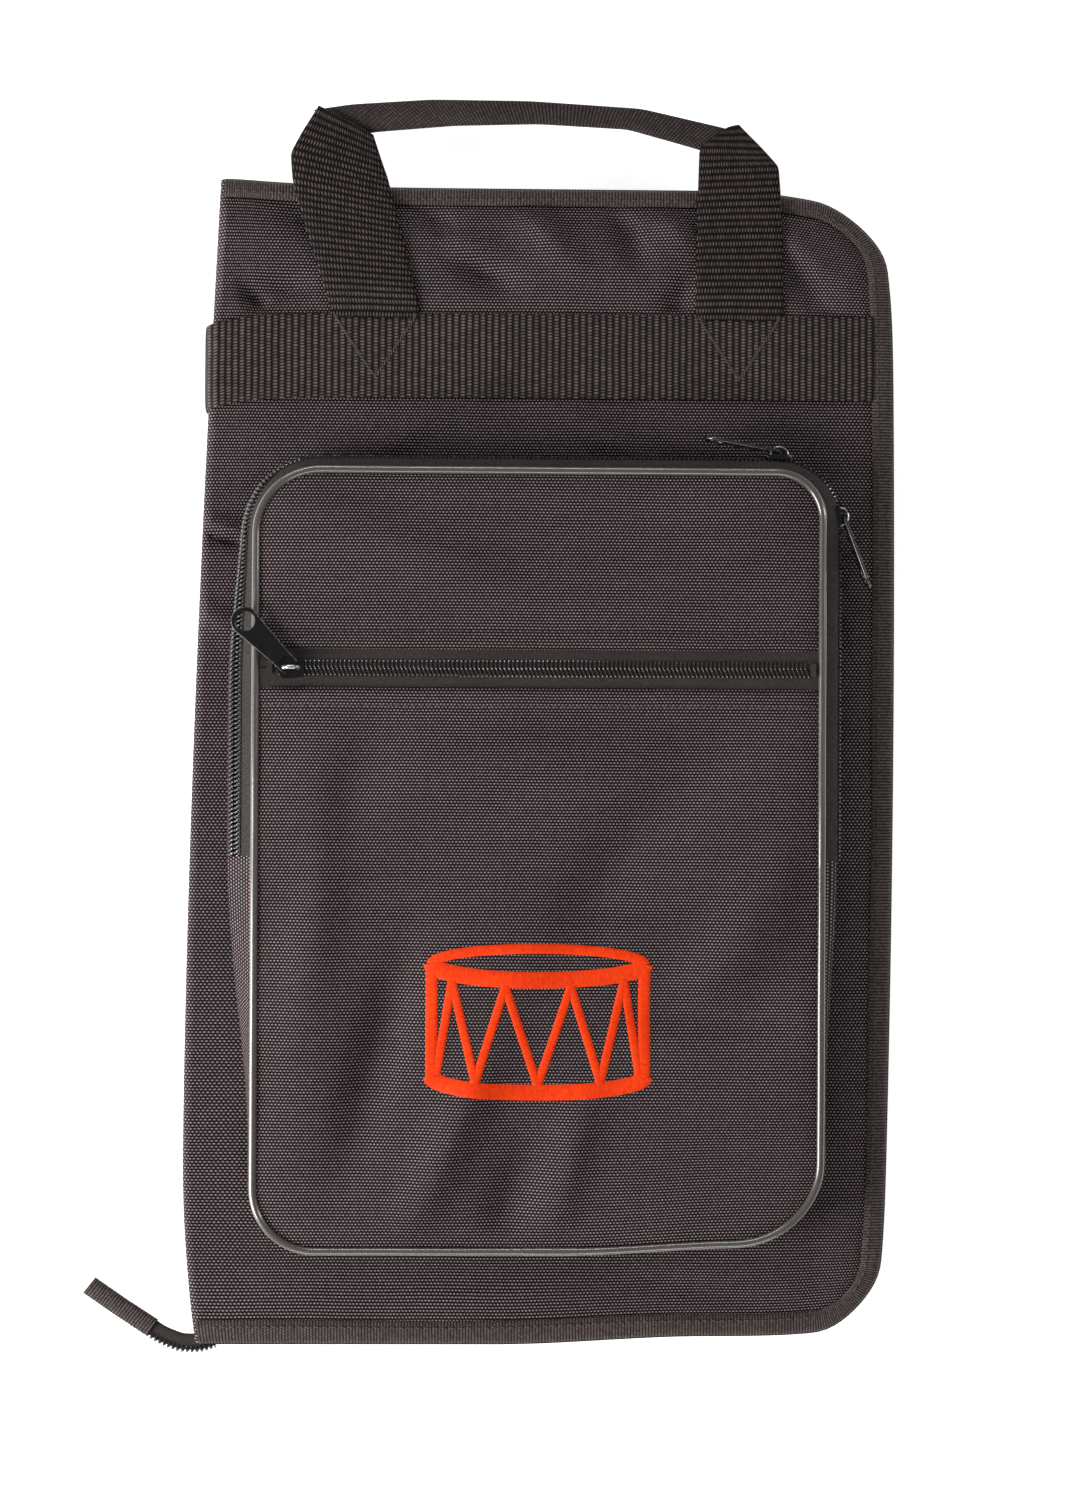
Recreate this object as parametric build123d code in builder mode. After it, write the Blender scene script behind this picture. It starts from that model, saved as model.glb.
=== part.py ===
"""A book-style drum stick bag, lying on its back: two padded covers on a fabric spine,
zipped round three edges.

+X runs from the spine to the opening edge, +Y towards the carrying handle and +Z out of the front cover.
The origin is the centre of the back cover's outer face. Lengths are in millimetres.
"""

import os
from math import cos, radians, sin

from build123d import *

os.makedirs("parts", exist_ok=True)

# Covers
WIDTH, HEIGHT = 295.0, 492.0
OPEN_CORNER, SPINE_CORNER = 32.0, 4.0
FABRIC, FOAM, LINING = 1.2, 3.8, 1.0
PANEL = FABRIC + FOAM + LINING
COVER_GAP = 22.0
FRONT = PANEL + COVER_GAP
FRONT_FACE = FRONT + PANEL
FOAM_INSET = 3.0
BINDING_WIDTH, BINDING_LAP = 9.0, 1.0
LEFT = -WIDTH / 2

# Webbing
BAND_WIDTH, WEB_THICK = 36.0, 1.8
BAND_Y = 173.0
BAND_EDGES = (BAND_Y - BAND_WIDTH / 2, BAND_Y + BAND_WIDTH / 2)
HANDLE_FOOT = BAND_EDGES[1] + 0.6
GRIP_THICK = 2.0
HANDLE_LEVEL = FRONT_FACE + 2.2

# Zips: two coils either side of a narrow slot, each on the edge of its own tape
COIL_WIDTH, COIL_OUT, COIL_IN = 2.4, 1.4, 1.0
SLOT = 0.7
TAPE = 0.8
TAPE_START = SLOT + COIL_WIDTH
ZIP_INSET = 6.0
ZIP_END = 9.0
ZIP_LEVEL = PANEL + COVER_GAP / 2

# Accessory pocket: the line of its piping, and the level of its face
POCKET_X, POCKET_Y = (-122.0, 116.0), (-208.0, 122.0)
POCKET_CORNERS = {"top_left": 26.0, "top_right": 12.0, "bottom": 24.0}
POCKET_FACE, POCKET_SKIN = 57.5, 2.5
PIPING_R = 1.75
WALL_OUT = 5.0
FLAP_HINGE_Y = -41.0
HINGE_GAP = 0.5
POCKET_ZIP_LEVEL = 47.2
GUSSET_TOP = 41.5
LEDGE_TOP = POCKET_FACE - 2 * PIPING_R
SEAM_WIDTH = 6.0
WALL = 1.2

# Stick and mallet pockets inside the covers
STICK_POCKET_X, STICK_POCKET_FOOT = (-132.0, 132.0), -226.0
STICK_POCKET_DEPTH, STICK_SHEET, STICK_SEAM = 9.5, 1.2, 1.6

# Small zip across the pocket's face
SMALL_ZIP_Y, SMALL_ZIP_WINDOW = 38.7, 16.2
SMALL_ZIP_X = (-118.0, 114.0)
SMALL_TAPE_LEVEL = 56.0
TEETH_PITCH, TEETH_GAP = 5.0, 1.8
STOP_HALF, STOP_SPAN = 1.2, 2.8
LINING_DROP = 4.6

# Sliders and pulls
SLIDER_HALF, SLIDER_WIDE, SLIDER_TAIL = 5.5, 4.6, 4.0
PLATE = 1.1
SHOULDER, NOSE_HALF = (0.8, 3.6), 2.2
PLATE_OUT, PLATE_IN, LIP = 2.0, -1.6, 1.1
LIP_INSET, LIP_WALL = 0.1, 0.7
WEDGE_X, WEDGE_LENGTH, WEDGE_WIDTH = 3.4, 3.4, 0.7
BRIDGE_HALF, BRIDGE_WIDTH, BRIDGE_HEIGHT, BRIDGE_THICK = 3.0, 1.6, 3.5, 0.9
BRIDGE_SLOPE = 0.5
PIVOT = PLATE_OUT + PLATE + 1.5
PULL_REACH, PULL_FAR_R, PULL_HOLE_R, PULL_THICK = 27.0, 5.7, 4.1, 1.2
PULL_NEAR_HALF, PULL_WINDOW_HALF, PULL_WINDOW, PULL_NECK = 3.9, 2.8, 5.0, 6.0

# Badge
BADGE_CENTRE, BADGE_SIZE, BADGE_RISE, BADGE_THICK = (-3.0, -109.0), (96.0, 38.0), 14.0, 0.6


def save(builder, name):
    """Label a finished piece and write it."""
    builder.part.label = name
    export_step(builder.part, f"parts/{name}.step")


def cover_shape(inset=0.0):
    """The cover's outline, moved in by inset: round at the opening corners, nearly square at the spine."""
    with BuildSketch() as shape:
        Rectangle(WIDTH - 2 * inset, HEIGHT - 2 * inset)
        columns = shape.vertices().group_by(Axis.X)
        fillet(columns[-1], OPEN_CORNER - inset)
        fillet(columns[0], max(SPINE_CORNER - inset, 0.5))
    return shape.sketch


def pocket_shape(grow=0.0):
    """The pocket's outline, moved out by grow from the line of its piping."""
    (left, right), (bottom, top) = POCKET_X, POCKET_Y
    with BuildSketch() as shape:
        with Locations(((left + right) / 2, (bottom + top) / 2)):
            Rectangle(right - left + 2 * grow, top - bottom + 2 * grow)
        rows = shape.vertices().group_by(Axis.Y)
        top_corners = rows[-1].sort_by(Axis.X)
        fillet(rows[0], POCKET_CORNERS["bottom"] + grow)
        fillet(top_corners[0], POCKET_CORNERS["top_left"] + grow)
        fillet(top_corners[1], POCKET_CORNERS["top_right"] + grow)
    return shape.sketch


def ring(outer, inner, low, high):
    """A wall between two outlines, from one level to another."""
    with BuildPart() as wall:
        with BuildSketch(Plane.XY.offset(low)):
            add(outer)
            add(inner, mode=Mode.SUBTRACT)
        extrude(amount=high - low)
    return wall.part


def block(x, y, z):
    """A box between three pairs of limits."""
    centre = [(a + b) / 2 for a, b in (x, y, z)]
    return Pos(*centre) * Box(*(b - a for a, b in (x, y, z)), mode=Mode.PRIVATE)


EVERYWHERE = (-400.0, 400.0)
ABOVE_HINGE = block(EVERYWHERE, (FLAP_HINGE_Y + HINGE_GAP / 2, 400.0), EVERYWHERE)
BELOW_HINGE = block(EVERYWHERE, (-400.0, FLAP_HINGE_Y - HINGE_GAP / 2), EVERYWHERE)


def zipped_sides(inset=0.0):
    """A cutting block that leaves only the three zipped sides of a ring round the cover."""
    with BuildPart() as sides:
        add(block((LEFT + inset, 400.0), EVERYWHERE, EVERYWHERE))
        between = (BINDING_WIDTH - HEIGHT / 2, HEIGHT / 2 - BINDING_WIDTH)
        add(block((LEFT - 1.0, LEFT + BINDING_WIDTH), between, EVERYWHERE), mode=Mode.SUBTRACT)
    return sides.part


def slab(shape, a, b):
    """A flat plate of that outline between two levels, given in either order."""
    with BuildPart() as plate:
        with BuildSketch(Plane.XY.offset(min(a, b))):
            add(shape)
        extrude(amount=abs(b - a))
    return plate


def cover_layers(level, outward):
    """Outer fabric, foam board and lining of one cover; level is its outer face and outward is +1 or -1."""
    foam_outer = level - outward * FABRIC
    foam_inner = foam_outer - outward * FOAM
    fabric = slab(cover_shape(BINDING_LAP), level, foam_outer)
    foam = slab(cover_shape(FOAM_INSET), foam_outer, foam_inner)
    lining = slab(cover_shape(BINDING_LAP), foam_inner, foam_inner - outward * LINING)
    return fabric, foam, lining


def cover_band(level):
    """The webbing band sewn across a cover, from the spine to the binding of the opening edge."""
    with BuildPart() as band:
        with BuildSketch(Plane.XY.offset(level)):
            with Locations((BINDING_WIDTH / -2, BAND_Y)):
                Rectangle(WIDTH - BINDING_WIDTH, BAND_WIDTH)
        extrude(amount=WEB_THICK)
    return band


def edge_binding(low, high):
    """Tape folded over the raw edge of a cover on its three zipped sides, round the cover's thickness."""
    with BuildPart() as binding:
        add(ring(cover_shape(), cover_shape(BINDING_WIDTH), low, high))
        with BuildSketch(Plane.XY.offset(low + BINDING_LAP)):
            add(cover_shape(BINDING_LAP))
        extrude(amount=high - low - 2 * BINDING_LAP, mode=Mode.SUBTRACT)
        add(zipped_sides(4.0), mode=Mode.INTERSECT)
    return binding


def build_back_cover():
    """The back cover: the band beds into its padding, so that its whole outer face can lie flat."""
    fabric, foam, lining = cover_layers(0.0, -1)
    low, high = BAND_EDGES
    slot = block(EVERYWHERE, (low, high), (-1.0, WEB_THICK))
    pressed = block((LEFT + BINDING_LAP, -LEFT - BINDING_LAP), (low - FABRIC, high + FABRIC),
                    (0.0, WEB_THICK + FABRIC))
    edge = ring(cover_shape(-1.0), cover_shape(BINDING_WIDTH), -1.0, BINDING_LAP)
    with BuildPart() as step:
        add(edge)
        add(zipped_sides(4.0), mode=Mode.INTERSECT)
    with BuildPart() as back_fabric:
        add(fabric.part)
        add(pressed)
        add(slot, mode=Mode.SUBTRACT)
        add(step.part, mode=Mode.SUBTRACT)
    with BuildPart() as back_foam:
        add(foam.part)
        add(pressed, mode=Mode.SUBTRACT)
    save(back_fabric, "back_fabric")
    save(back_foam, "back_foam")
    save(lining, "back_lining")
    save(edge_binding(0.0, PANEL + BINDING_LAP), "back_binding")
    save(cover_band(0.0), "back_band")


def build_front_cover():
    """The front cover, padded like the back one, with its band sewn on and its edge bound."""
    fabric, foam, lining = cover_layers(FRONT_FACE, 1)
    save(fabric, "front_fabric")
    save(foam, "front_foam")
    save(lining, "front_lining")
    save(edge_binding(FRONT - BINDING_LAP, FRONT_FACE + BINDING_LAP), "front_binding")
    save(cover_band(FRONT_FACE), "front_band")


def build_spine():
    """The fabric fold that joins the covers, and the band that goes round it."""
    low, high = PANEL + 0.3, FRONT - 0.3
    with BuildPart() as spine_fabric:
        add(block((LEFT, LEFT + 2.3), (-HEIGHT / 2 + 4, HEIGHT / 2 - 4), (low, high)))
    save(spine_fabric, "spine_fabric")
    with BuildPart() as spine_band:
        add(block((LEFT - WEB_THICK, LEFT), BAND_EDGES, (low + 2.2, high - 2.2)))
    save(spine_band, "spine_band")


def build_main_zip():
    """The zip wall round the three open edges: a tape and a coil on each cover."""
    tape = cover_shape(ZIP_INSET - TAPE / 2), cover_shape(ZIP_INSET + TAPE / 2)
    coil = cover_shape(ZIP_INSET - COIL_OUT), cover_shape(ZIP_INSET + COIL_IN)
    walls = {
        "back_zip_tape": (tape, PANEL + BINDING_LAP, ZIP_LEVEL - TAPE_START),
        "back_zip_coil": (coil, ZIP_LEVEL - TAPE_START, ZIP_LEVEL - SLOT),
        "front_zip_coil": (coil, ZIP_LEVEL + SLOT, ZIP_LEVEL + TAPE_START),
        "front_zip_tape": (tape, ZIP_LEVEL + TAPE_START, FRONT - BINDING_LAP),
    }
    for name, ((outer, inner), low, high) in walls.items():
        with BuildPart() as wall:
            add(ring(outer, inner, low, high))
            add(block((LEFT + ZIP_END, 400.0), EVERYWHERE, EVERYWHERE), mode=Mode.INTERSECT)
        save(wall, name)


def stick_pocket(low, sheet_low, count, mouth):
    """A sheet sewn down along its sides, foot and dividing seams, open towards the handle."""
    (left, right), foot = STICK_POCKET_X, STICK_POCKET_FOOT
    high = low + STICK_POCKET_DEPTH
    pitch = (right - left - STICK_SEAM) / count
    with BuildPart() as pocket:
        add(block((left, right), (foot, mouth), (sheet_low, sheet_low + STICK_SHEET)))
        add(block((left, right), (foot, foot + STICK_SEAM), (low, high)))
        for i in range(count + 1):
            add(block((left + i * pitch, left + i * pitch + STICK_SEAM), (foot, mouth), (low, high)))
    return pocket


def build_stick_pockets():
    """Three stick pockets inside the back cover and two wider mallet pockets inside the front one."""
    back_sheet = PANEL + STICK_POCKET_DEPTH - STICK_SHEET
    front_low = FRONT - STICK_POCKET_DEPTH
    save(stick_pocket(PANEL, back_sheet, count=3, mouth=70.0), "back_stick_pocket")
    save(stick_pocket(front_low, front_low, count=2, mouth=20.0), "front_stick_pocket")


def build_zip_tail():
    """The end of the main zip past the spine: tape folded lengthwise, and a cloth tab over its end."""
    level, thick = 14.0, 4.0
    root, elbow, end, tip = (-146.5, -250.6), (-161.0, -247.5), (-170.0, -241.3), (-190.0, -225.5)
    with BuildPart() as zip_tail:
        with BuildSketch(Plane.XY.offset(level)):
            with BuildLine() as route:
                FilletPolyline(root, elbow, end, radius=8.0)
            trace(route.line, 7.2)
        extrude(amount=thick)
    save(zip_tail, "zip_tail")
    with BuildPart() as zip_tail_tab:
        with BuildSketch(Plane.XY.offset(level - 0.6)):
            with BuildLine() as route:
                Line((end[0] - 0.6, end[1] + 0.5), tip)
            trace(route.line, 8.4)
        extrude(amount=thick + 1.2)
    save(zip_tail_tab, "zip_tail_tab")


def build_pocket_body():
    """The part of the pocket that stays on the front cover: lower shell, gusset and its half of the zip."""
    with BuildPart() as lower_shell:
        add(ring(pocket_shape(WALL_OUT), pocket_shape(WALL_OUT - WALL), FRONT_FACE, LEDGE_TOP))
        with BuildSketch(Plane.XY.offset(LEDGE_TOP - TAPE)):
            add(pocket_shape(WALL_OUT))
        extrude(amount=TAPE)
        with BuildSketch(Plane.XY.offset(LEDGE_TOP)):
            add(pocket_shape(-PIPING_R))
        extrude(amount=POCKET_FACE - LEDGE_TOP)
        add(BELOW_HINGE, mode=Mode.INTERSECT)
    save(lower_shell, "pocket_lower_shell")
    with BuildPart() as gusset:
        outer, inner = pocket_shape(WALL_OUT + WALL / 2), pocket_shape(WALL_OUT - WALL / 2)
        add(ring(outer, inner, FRONT_FACE, GUSSET_TOP))
        add(ABOVE_HINGE, mode=Mode.INTERSECT)
    save(gusset, "pocket_gusset")
    with BuildPart() as tape:
        add(ring(pocket_shape(WALL_OUT + TAPE / 2), pocket_shape(WALL_OUT - TAPE / 2),
                 GUSSET_TOP, POCKET_ZIP_LEVEL - TAPE_START))
        add(ABOVE_HINGE, mode=Mode.INTERSECT)
    save(tape, "gusset_zip_tape")
    with BuildPart() as coil:
        add(pocket_coil(POCKET_ZIP_LEVEL - TAPE_START, POCKET_ZIP_LEVEL - SLOT))
    save(coil, "gusset_zip_coil")


def pocket_coil(low, high):
    """One coil of the pocket zip, which starts a little past the flap's hinge line."""
    with BuildPart() as coil:
        add(ring(pocket_shape(WALL_OUT + COIL_OUT), pocket_shape(WALL_OUT - COIL_IN), low, high))
        add(block(EVERYWHERE, (FLAP_HINGE_Y + 2.0, 400.0), EVERYWHERE), mode=Mode.INTERSECT)
    return coil.part


def piping_ring():
    """The round cord that trims the edge of the pocket's face."""
    level = POCKET_FACE - PIPING_R
    path = Pos(0, 0, level) * pocket_shape().faces()[0].outer_wire()
    with BuildPart() as piping:
        with BuildSketch(Plane((0, POCKET_Y[0], level), x_dir=(0, 1, 0), z_dir=(1, 0, 0))):
            Circle(PIPING_R - 0.05)
        sweep(path=path, transition=Transition.RIGHT)
    return piping.part


def build_piping():
    """The piping, cut at the flap's hinge line."""
    whole = piping_ring()
    with BuildPart() as lower:
        add(whole)
        add(BELOW_HINGE, mode=Mode.INTERSECT)
    save(lower, "pocket_lower_piping")
    with BuildPart() as upper:
        add(whole)
        add(ABOVE_HINGE, mode=Mode.INTERSECT)
    save(upper, "flap_piping")


def build_flap():
    """The upper part of the pocket's face, which folds down when the pocket zip is open."""
    skin_low = POCKET_FACE - POCKET_SKIN
    window = SMALL_ZIP_WINDOW / 2
    ranges = {
        "flap_upper_face": (SMALL_ZIP_Y + window, 400.0),
        "flap_lower_face": (FLAP_HINGE_Y + HINGE_GAP / 2, SMALL_ZIP_Y - window),
    }
    for name, limits in ranges.items():
        with BuildPart() as face:
            with BuildSketch(Plane.XY.offset(skin_low)):
                add(pocket_shape(-PIPING_R))
            extrude(amount=POCKET_SKIN)
            add(block(EVERYWHERE, limits, EVERYWHERE), mode=Mode.INTERSECT)
        save(face, name)
    with BuildPart() as skirt:
        add(ring(pocket_shape(WALL_OUT + TAPE / 2), pocket_shape(WALL_OUT - TAPE / 2),
                 POCKET_ZIP_LEVEL + TAPE_START, LEDGE_TOP))
        add(ring(pocket_shape(WALL_OUT + TAPE / 2), pocket_shape(-SEAM_WIDTH), LEDGE_TOP - TAPE, LEDGE_TOP))
        add(ring(pocket_shape(-PIPING_R), pocket_shape(-SEAM_WIDTH), LEDGE_TOP, skin_low))
        add(ABOVE_HINGE, mode=Mode.INTERSECT)
    save(skirt, "flap_zip_tape")
    with BuildPart() as coil:
        add(pocket_coil(POCKET_ZIP_LEVEL + SLOT, POCKET_ZIP_LEVEL + TAPE_START))
    save(coil, "flap_zip_coil")


def build_small_zip():
    """The zip across the flap: its tape fills the window between the faces and carries two toothed coils."""
    left, right = SMALL_ZIP_X
    window = SMALL_ZIP_WINDOW / 2 - 0.1
    tape_top = SMALL_TAPE_LEVEL + TAPE / 2
    with BuildPart() as tape:
        for side in (-1, 1):
            edges = sorted((SMALL_ZIP_Y + side * TAPE_START, SMALL_ZIP_Y + side * window))
            add(block((left, right), edges, (SMALL_TAPE_LEVEL - TAPE / 2, tape_top)))
    save(tape, "small_zip_tape")
    coil_left, coil_right = left + 4.0, right - 4.0
    root, crest = SMALL_TAPE_LEVEL + COIL_OUT / 2, SMALL_TAPE_LEVEL + COIL_OUT
    teeth = int((coil_right - coil_left) / TEETH_PITCH) - 3
    with BuildPart() as coils:
        for side in (-1, 1):
            middle = SMALL_ZIP_Y + side * (SLOT + COIL_WIDTH / 2)
            edges = (middle - COIL_WIDTH / 2, middle + COIL_WIDTH / 2)
            add(block((coil_left, coil_right), edges, (SMALL_TAPE_LEVEL - COIL_IN, root)))
            with Locations(Pos((left + right) / 2, middle, (root + crest) / 2)):
                with GridLocations(TEETH_PITCH, 1.0, teeth, 1):
                    Box(TEETH_PITCH - TEETH_GAP, COIL_WIDTH, crest - root)
    save(coils, "small_zip_coils")
    with BuildPart() as stops:
        for x in (coil_left - 2.0, coil_right + 2.0):
            add(block((x - STOP_HALF, x + STOP_HALF), (SMALL_ZIP_Y - STOP_SPAN, SMALL_ZIP_Y + STOP_SPAN),
                      (tape_top, tape_top + STOP_HALF)))
    save(stops, "small_zip_stops")
    build_small_pocket_lining()


def build_small_pocket_lining():
    """The flat cloth pocket that hangs under the flap, behind the small zip."""
    skin_low = POCKET_FACE - POCKET_SKIN
    bottom = skin_low - LINING_DROP
    (left, right), inside = POCKET_X, SEAM_WIDTH + 0.2
    sides = (left + inside, right - inside), (FLAP_HINGE_Y + 3.0, SMALL_ZIP_Y + 30.0)
    hollow = [(low + WALL, high - WALL) for low, high in sides]
    with BuildPart() as lining:
        add(block(*sides, (bottom, skin_low)))
        add(block(*hollow, (bottom + TAPE, skin_low)), mode=Mode.SUBTRACT)
    save(lining, "small_pocket_lining")


def slider_outline():
    """A shield: wide shoulders at the nose (+x), tapering to the tail."""
    near, far = SHOULDER
    half = [(-SLIDER_HALF, -SLIDER_TAIL), (near, -SLIDER_WIDE),
            (far, -SLIDER_WIDE), (SLIDER_HALF, -NOSE_HALF)]
    with BuildSketch() as outline:
        with BuildLine():
            Polyline(*half, *[(x, -y) for x, y in reversed(half)], close=True)
        make_face()
        fillet(outline.vertices(), 0.6)
    return outline.sketch


def slider_lips():
    """The two turned-in edges that steer the coils: they follow the outline and stop before the nose."""
    near, far = SHOULDER
    tail, edge = SLIDER_TAIL - LIP_INSET, SLIDER_WIDE - LIP_INSET
    start, end = -SLIDER_HALF + 0.5, far - 0.4
    outer = [(start, -tail), (near, -edge), (end, -edge)]
    inner = [(end, LIP_WALL - edge), (near, LIP_WALL - edge), (start, LIP_WALL / 2 - tail)]
    with BuildSketch() as lips:
        with BuildLine():
            Polyline(*outer, *inner, close=True)
        make_face()
        mirror(about=Plane.XZ)
    return lips.sketch


def bridge_side(half, low, high, slope):
    """The bridge from the side: an upright trapezium from its root to its top."""
    with BuildSketch() as side:
        with BuildLine():
            Polyline((-half, low), (slope - half, high), (half - slope, high), (half, low), close=True)
        make_face()
    return side.sketch


def zip_slider(plane):
    """A coil-zip slider on the plane of its tape, nose along the plane's x and bridge along its z.

    Two plates hold the coils between them, lips on both plates steer the coils, a thin wedge parts them
    at the nose, and a bridge on the outer plate carries the pull's crossbar.
    """
    upright = Plane(plane.origin, x_dir=plane.x_dir, z_dir=plane.y_dir * -1)
    root = PLATE_OUT + PLATE
    top = root + BRIDGE_HEIGHT
    layers = ((slider_outline(), PLATE_OUT, root), (slider_outline(), PLATE_IN - PLATE, PLATE_IN),
              (slider_lips(), LIP, PLATE_OUT), (slider_lips(), PLATE_IN, -LIP))
    with BuildPart() as slider:
        for shape, low, high in layers:
            with BuildSketch(plane.offset(low)):
                add(shape)
            extrude(amount=high - low)
        with BuildSketch(plane.offset(PLATE_IN)):
            with Locations((WEDGE_X, 0.0)):
                SlotOverall(WEDGE_LENGTH, WEDGE_WIDTH)
        extrude(amount=PLATE_OUT - PLATE_IN)
        with BuildSketch(upright):
            add(bridge_side(BRIDGE_HALF, root - 0.2, top, BRIDGE_SLOPE))
            add(bridge_side(BRIDGE_HALF - BRIDGE_THICK, root - 0.3, top - BRIDGE_THICK, BRIDGE_SLOPE),
                mode=Mode.SUBTRACT)
        extrude(amount=BRIDGE_WIDTH / 2, both=True)
    return slider


def zip_pull(plane):
    """A flat tapered pull along the plane's x, from its round crossbar to a ring-shaped grip."""
    half = [(0.0, -PULL_NEAR_HALF), (PULL_NECK, -PULL_NEAR_HALF), (PULL_REACH, -PULL_FAR_R)]
    with BuildPart() as pull:
        with BuildSketch(plane.offset(-PULL_THICK / 2)):
            with BuildLine():
                Polyline(*half, *[(x, -y) for x, y in reversed(half)], close=True)
            make_face()
            with Locations((PULL_REACH, 0.0)):
                Circle(PULL_FAR_R)
                Circle(PULL_HOLE_R, mode=Mode.SUBTRACT)
            with Locations((PULL_WINDOW / 2, 0.0)):
                Rectangle(PULL_WINDOW, 2 * PULL_WINDOW_HALF, mode=Mode.SUBTRACT)
        extrude(amount=PULL_THICK)
        with BuildSketch(Plane(plane.origin, x_dir=plane.x_dir, z_dir=plane.y_dir)):
            Circle(PULL_THICK / 2)
        extrude(amount=PULL_NEAR_HALF, both=True)
    return pull


def turned(degrees):
    """A level direction, counted from +X towards +Y."""
    return Vector(cos(radians(degrees)), sin(radians(degrees)), 0)


def build_sliders():
    """Each zip's slider with its pull: place, directions of the nose and the bridge, and how the pull lies."""
    up, out_top, out_side = Vector(0, 0, 1), Vector(0, 1, 0), Vector(1, 0, 0)
    places = {
        "small": ((SMALL_ZIP_X[0] + 11.0, SMALL_ZIP_Y, SMALL_TAPE_LEVEL), turned(180), up, turned(135), up),
        "pocket_top": ((98.3, POCKET_Y[1] + WALL_OUT, POCKET_ZIP_LEVEL), turned(0), out_top,
                       turned(170), turned(80)),
        "pocket_side": ((POCKET_X[1] + WALL_OUT, 104.3, POCKET_ZIP_LEVEL), turned(90), out_side,
                        turned(-70), turned(20)),
        "main": ((-112.0, HEIGHT / 2 - ZIP_INSET, ZIP_LEVEL), turned(180), out_top, turned(0), out_top),
    }
    for name, (place, nose, out, lie, lie_out) in places.items():
        origin = Vector(*place)
        save(zip_slider(Plane(origin, x_dir=nose, z_dir=out)), f"{name}_slider")
        save(zip_pull(Plane(origin + out * PIVOT, x_dir=lie, z_dir=lie_out)), f"{name}_pull")


def build_badge():
    """An embroidered badge on the lower pocket face: a drum from the side, with its round head on top."""
    (x, y), (width, depth) = BADGE_CENTRE, BADGE_SIZE
    with BuildPart() as badge:
        with BuildSketch(Plane.XY.offset(POCKET_FACE)):
            with Locations((x, y)):
                Rectangle(width, depth)
            with Locations((x, y + depth / 2), (x, y - depth / 2)):
                Ellipse(width / 2, BADGE_RISE)
        extrude(amount=BADGE_THICK)
    save(badge, "badge")


def build_handle():
    """The carrying handle, up over the top edge: two flat webbing legs and a grip folded to half width."""
    legs = {
        "handle_left_leg": [(-92.2, HANDLE_FOOT), (-108.8, 247.4), (-109.6, 258.4), (-97.8, 278.8),
                            (-74.4, 266.5), (-68.0, 247.4), (-54.2, HANDLE_FOOT)],
        "handle_right_leg": [(101.2, HANDLE_FOOT), (99.5, 242.0), (98.6, 254.6), (81.6, 272.4),
                             (76.5, 271.2), (64.6, 262.0), (63.3, HANDLE_FOOT)],
    }
    for name, corners in legs.items():
        with BuildPart() as leg:
            with BuildSketch(Plane.XY.offset(HANDLE_LEVEL)):
                with BuildLine():
                    Polyline(*corners, close=True)
                make_face()
            extrude(amount=WEB_THICK)
        save(leg, name)
    left_end, right_end = ((-97.0, 279.0), (-75.5, 266.5)), ((80.5, 271.2), (66.5, 258.8))
    with BuildPart() as grip:
        with BuildSketch(Plane.XY.offset(HANDLE_LEVEL - GRIP_THICK)):
            with BuildLine():
                ThreePointArc(left_end[0], (-8.0, 281.8), right_end[0])
                Line(*right_end)
                ThreePointArc(right_end[1], (-4.0, 270.4), left_end[1])
                Line(left_end[1], left_end[0])
            make_face()
        extrude(amount=GRIP_THICK)
    save(grip, "handle_grip")


build_back_cover()
build_front_cover()
build_spine()
build_main_zip()
build_stick_pockets()
build_zip_tail()
build_pocket_body()
build_piping()
build_flap()
build_small_zip()
build_badge()
build_sliders()
build_handle()
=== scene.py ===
import bpy
import numpy as np
from mathutils import Matrix, Vector


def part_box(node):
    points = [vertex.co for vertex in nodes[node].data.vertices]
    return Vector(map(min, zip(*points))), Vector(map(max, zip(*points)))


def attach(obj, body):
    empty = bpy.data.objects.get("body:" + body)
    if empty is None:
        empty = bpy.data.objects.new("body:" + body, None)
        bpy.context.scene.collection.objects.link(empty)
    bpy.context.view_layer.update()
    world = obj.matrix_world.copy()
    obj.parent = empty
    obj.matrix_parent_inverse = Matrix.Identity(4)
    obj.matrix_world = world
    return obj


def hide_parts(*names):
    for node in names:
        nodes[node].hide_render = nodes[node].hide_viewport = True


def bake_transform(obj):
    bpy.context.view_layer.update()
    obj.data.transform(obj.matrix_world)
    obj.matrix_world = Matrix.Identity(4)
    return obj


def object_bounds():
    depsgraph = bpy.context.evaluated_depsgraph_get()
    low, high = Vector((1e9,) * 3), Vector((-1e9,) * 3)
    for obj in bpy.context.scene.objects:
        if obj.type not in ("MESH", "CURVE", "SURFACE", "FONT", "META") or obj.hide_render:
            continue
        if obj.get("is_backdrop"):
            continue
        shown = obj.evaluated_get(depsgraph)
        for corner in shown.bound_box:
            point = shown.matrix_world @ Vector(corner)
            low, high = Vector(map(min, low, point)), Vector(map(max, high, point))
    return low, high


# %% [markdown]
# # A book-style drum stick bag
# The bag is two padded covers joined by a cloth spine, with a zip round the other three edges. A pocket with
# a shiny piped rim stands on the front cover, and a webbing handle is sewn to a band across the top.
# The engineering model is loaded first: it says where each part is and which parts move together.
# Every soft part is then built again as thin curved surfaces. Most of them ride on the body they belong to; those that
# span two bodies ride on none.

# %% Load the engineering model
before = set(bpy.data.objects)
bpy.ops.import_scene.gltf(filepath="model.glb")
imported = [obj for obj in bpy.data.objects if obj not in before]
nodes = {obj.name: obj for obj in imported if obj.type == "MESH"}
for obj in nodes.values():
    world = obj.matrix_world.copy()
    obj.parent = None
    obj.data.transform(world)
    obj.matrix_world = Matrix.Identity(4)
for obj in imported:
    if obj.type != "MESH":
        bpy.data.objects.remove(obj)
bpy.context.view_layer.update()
MM = 0.001


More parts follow.
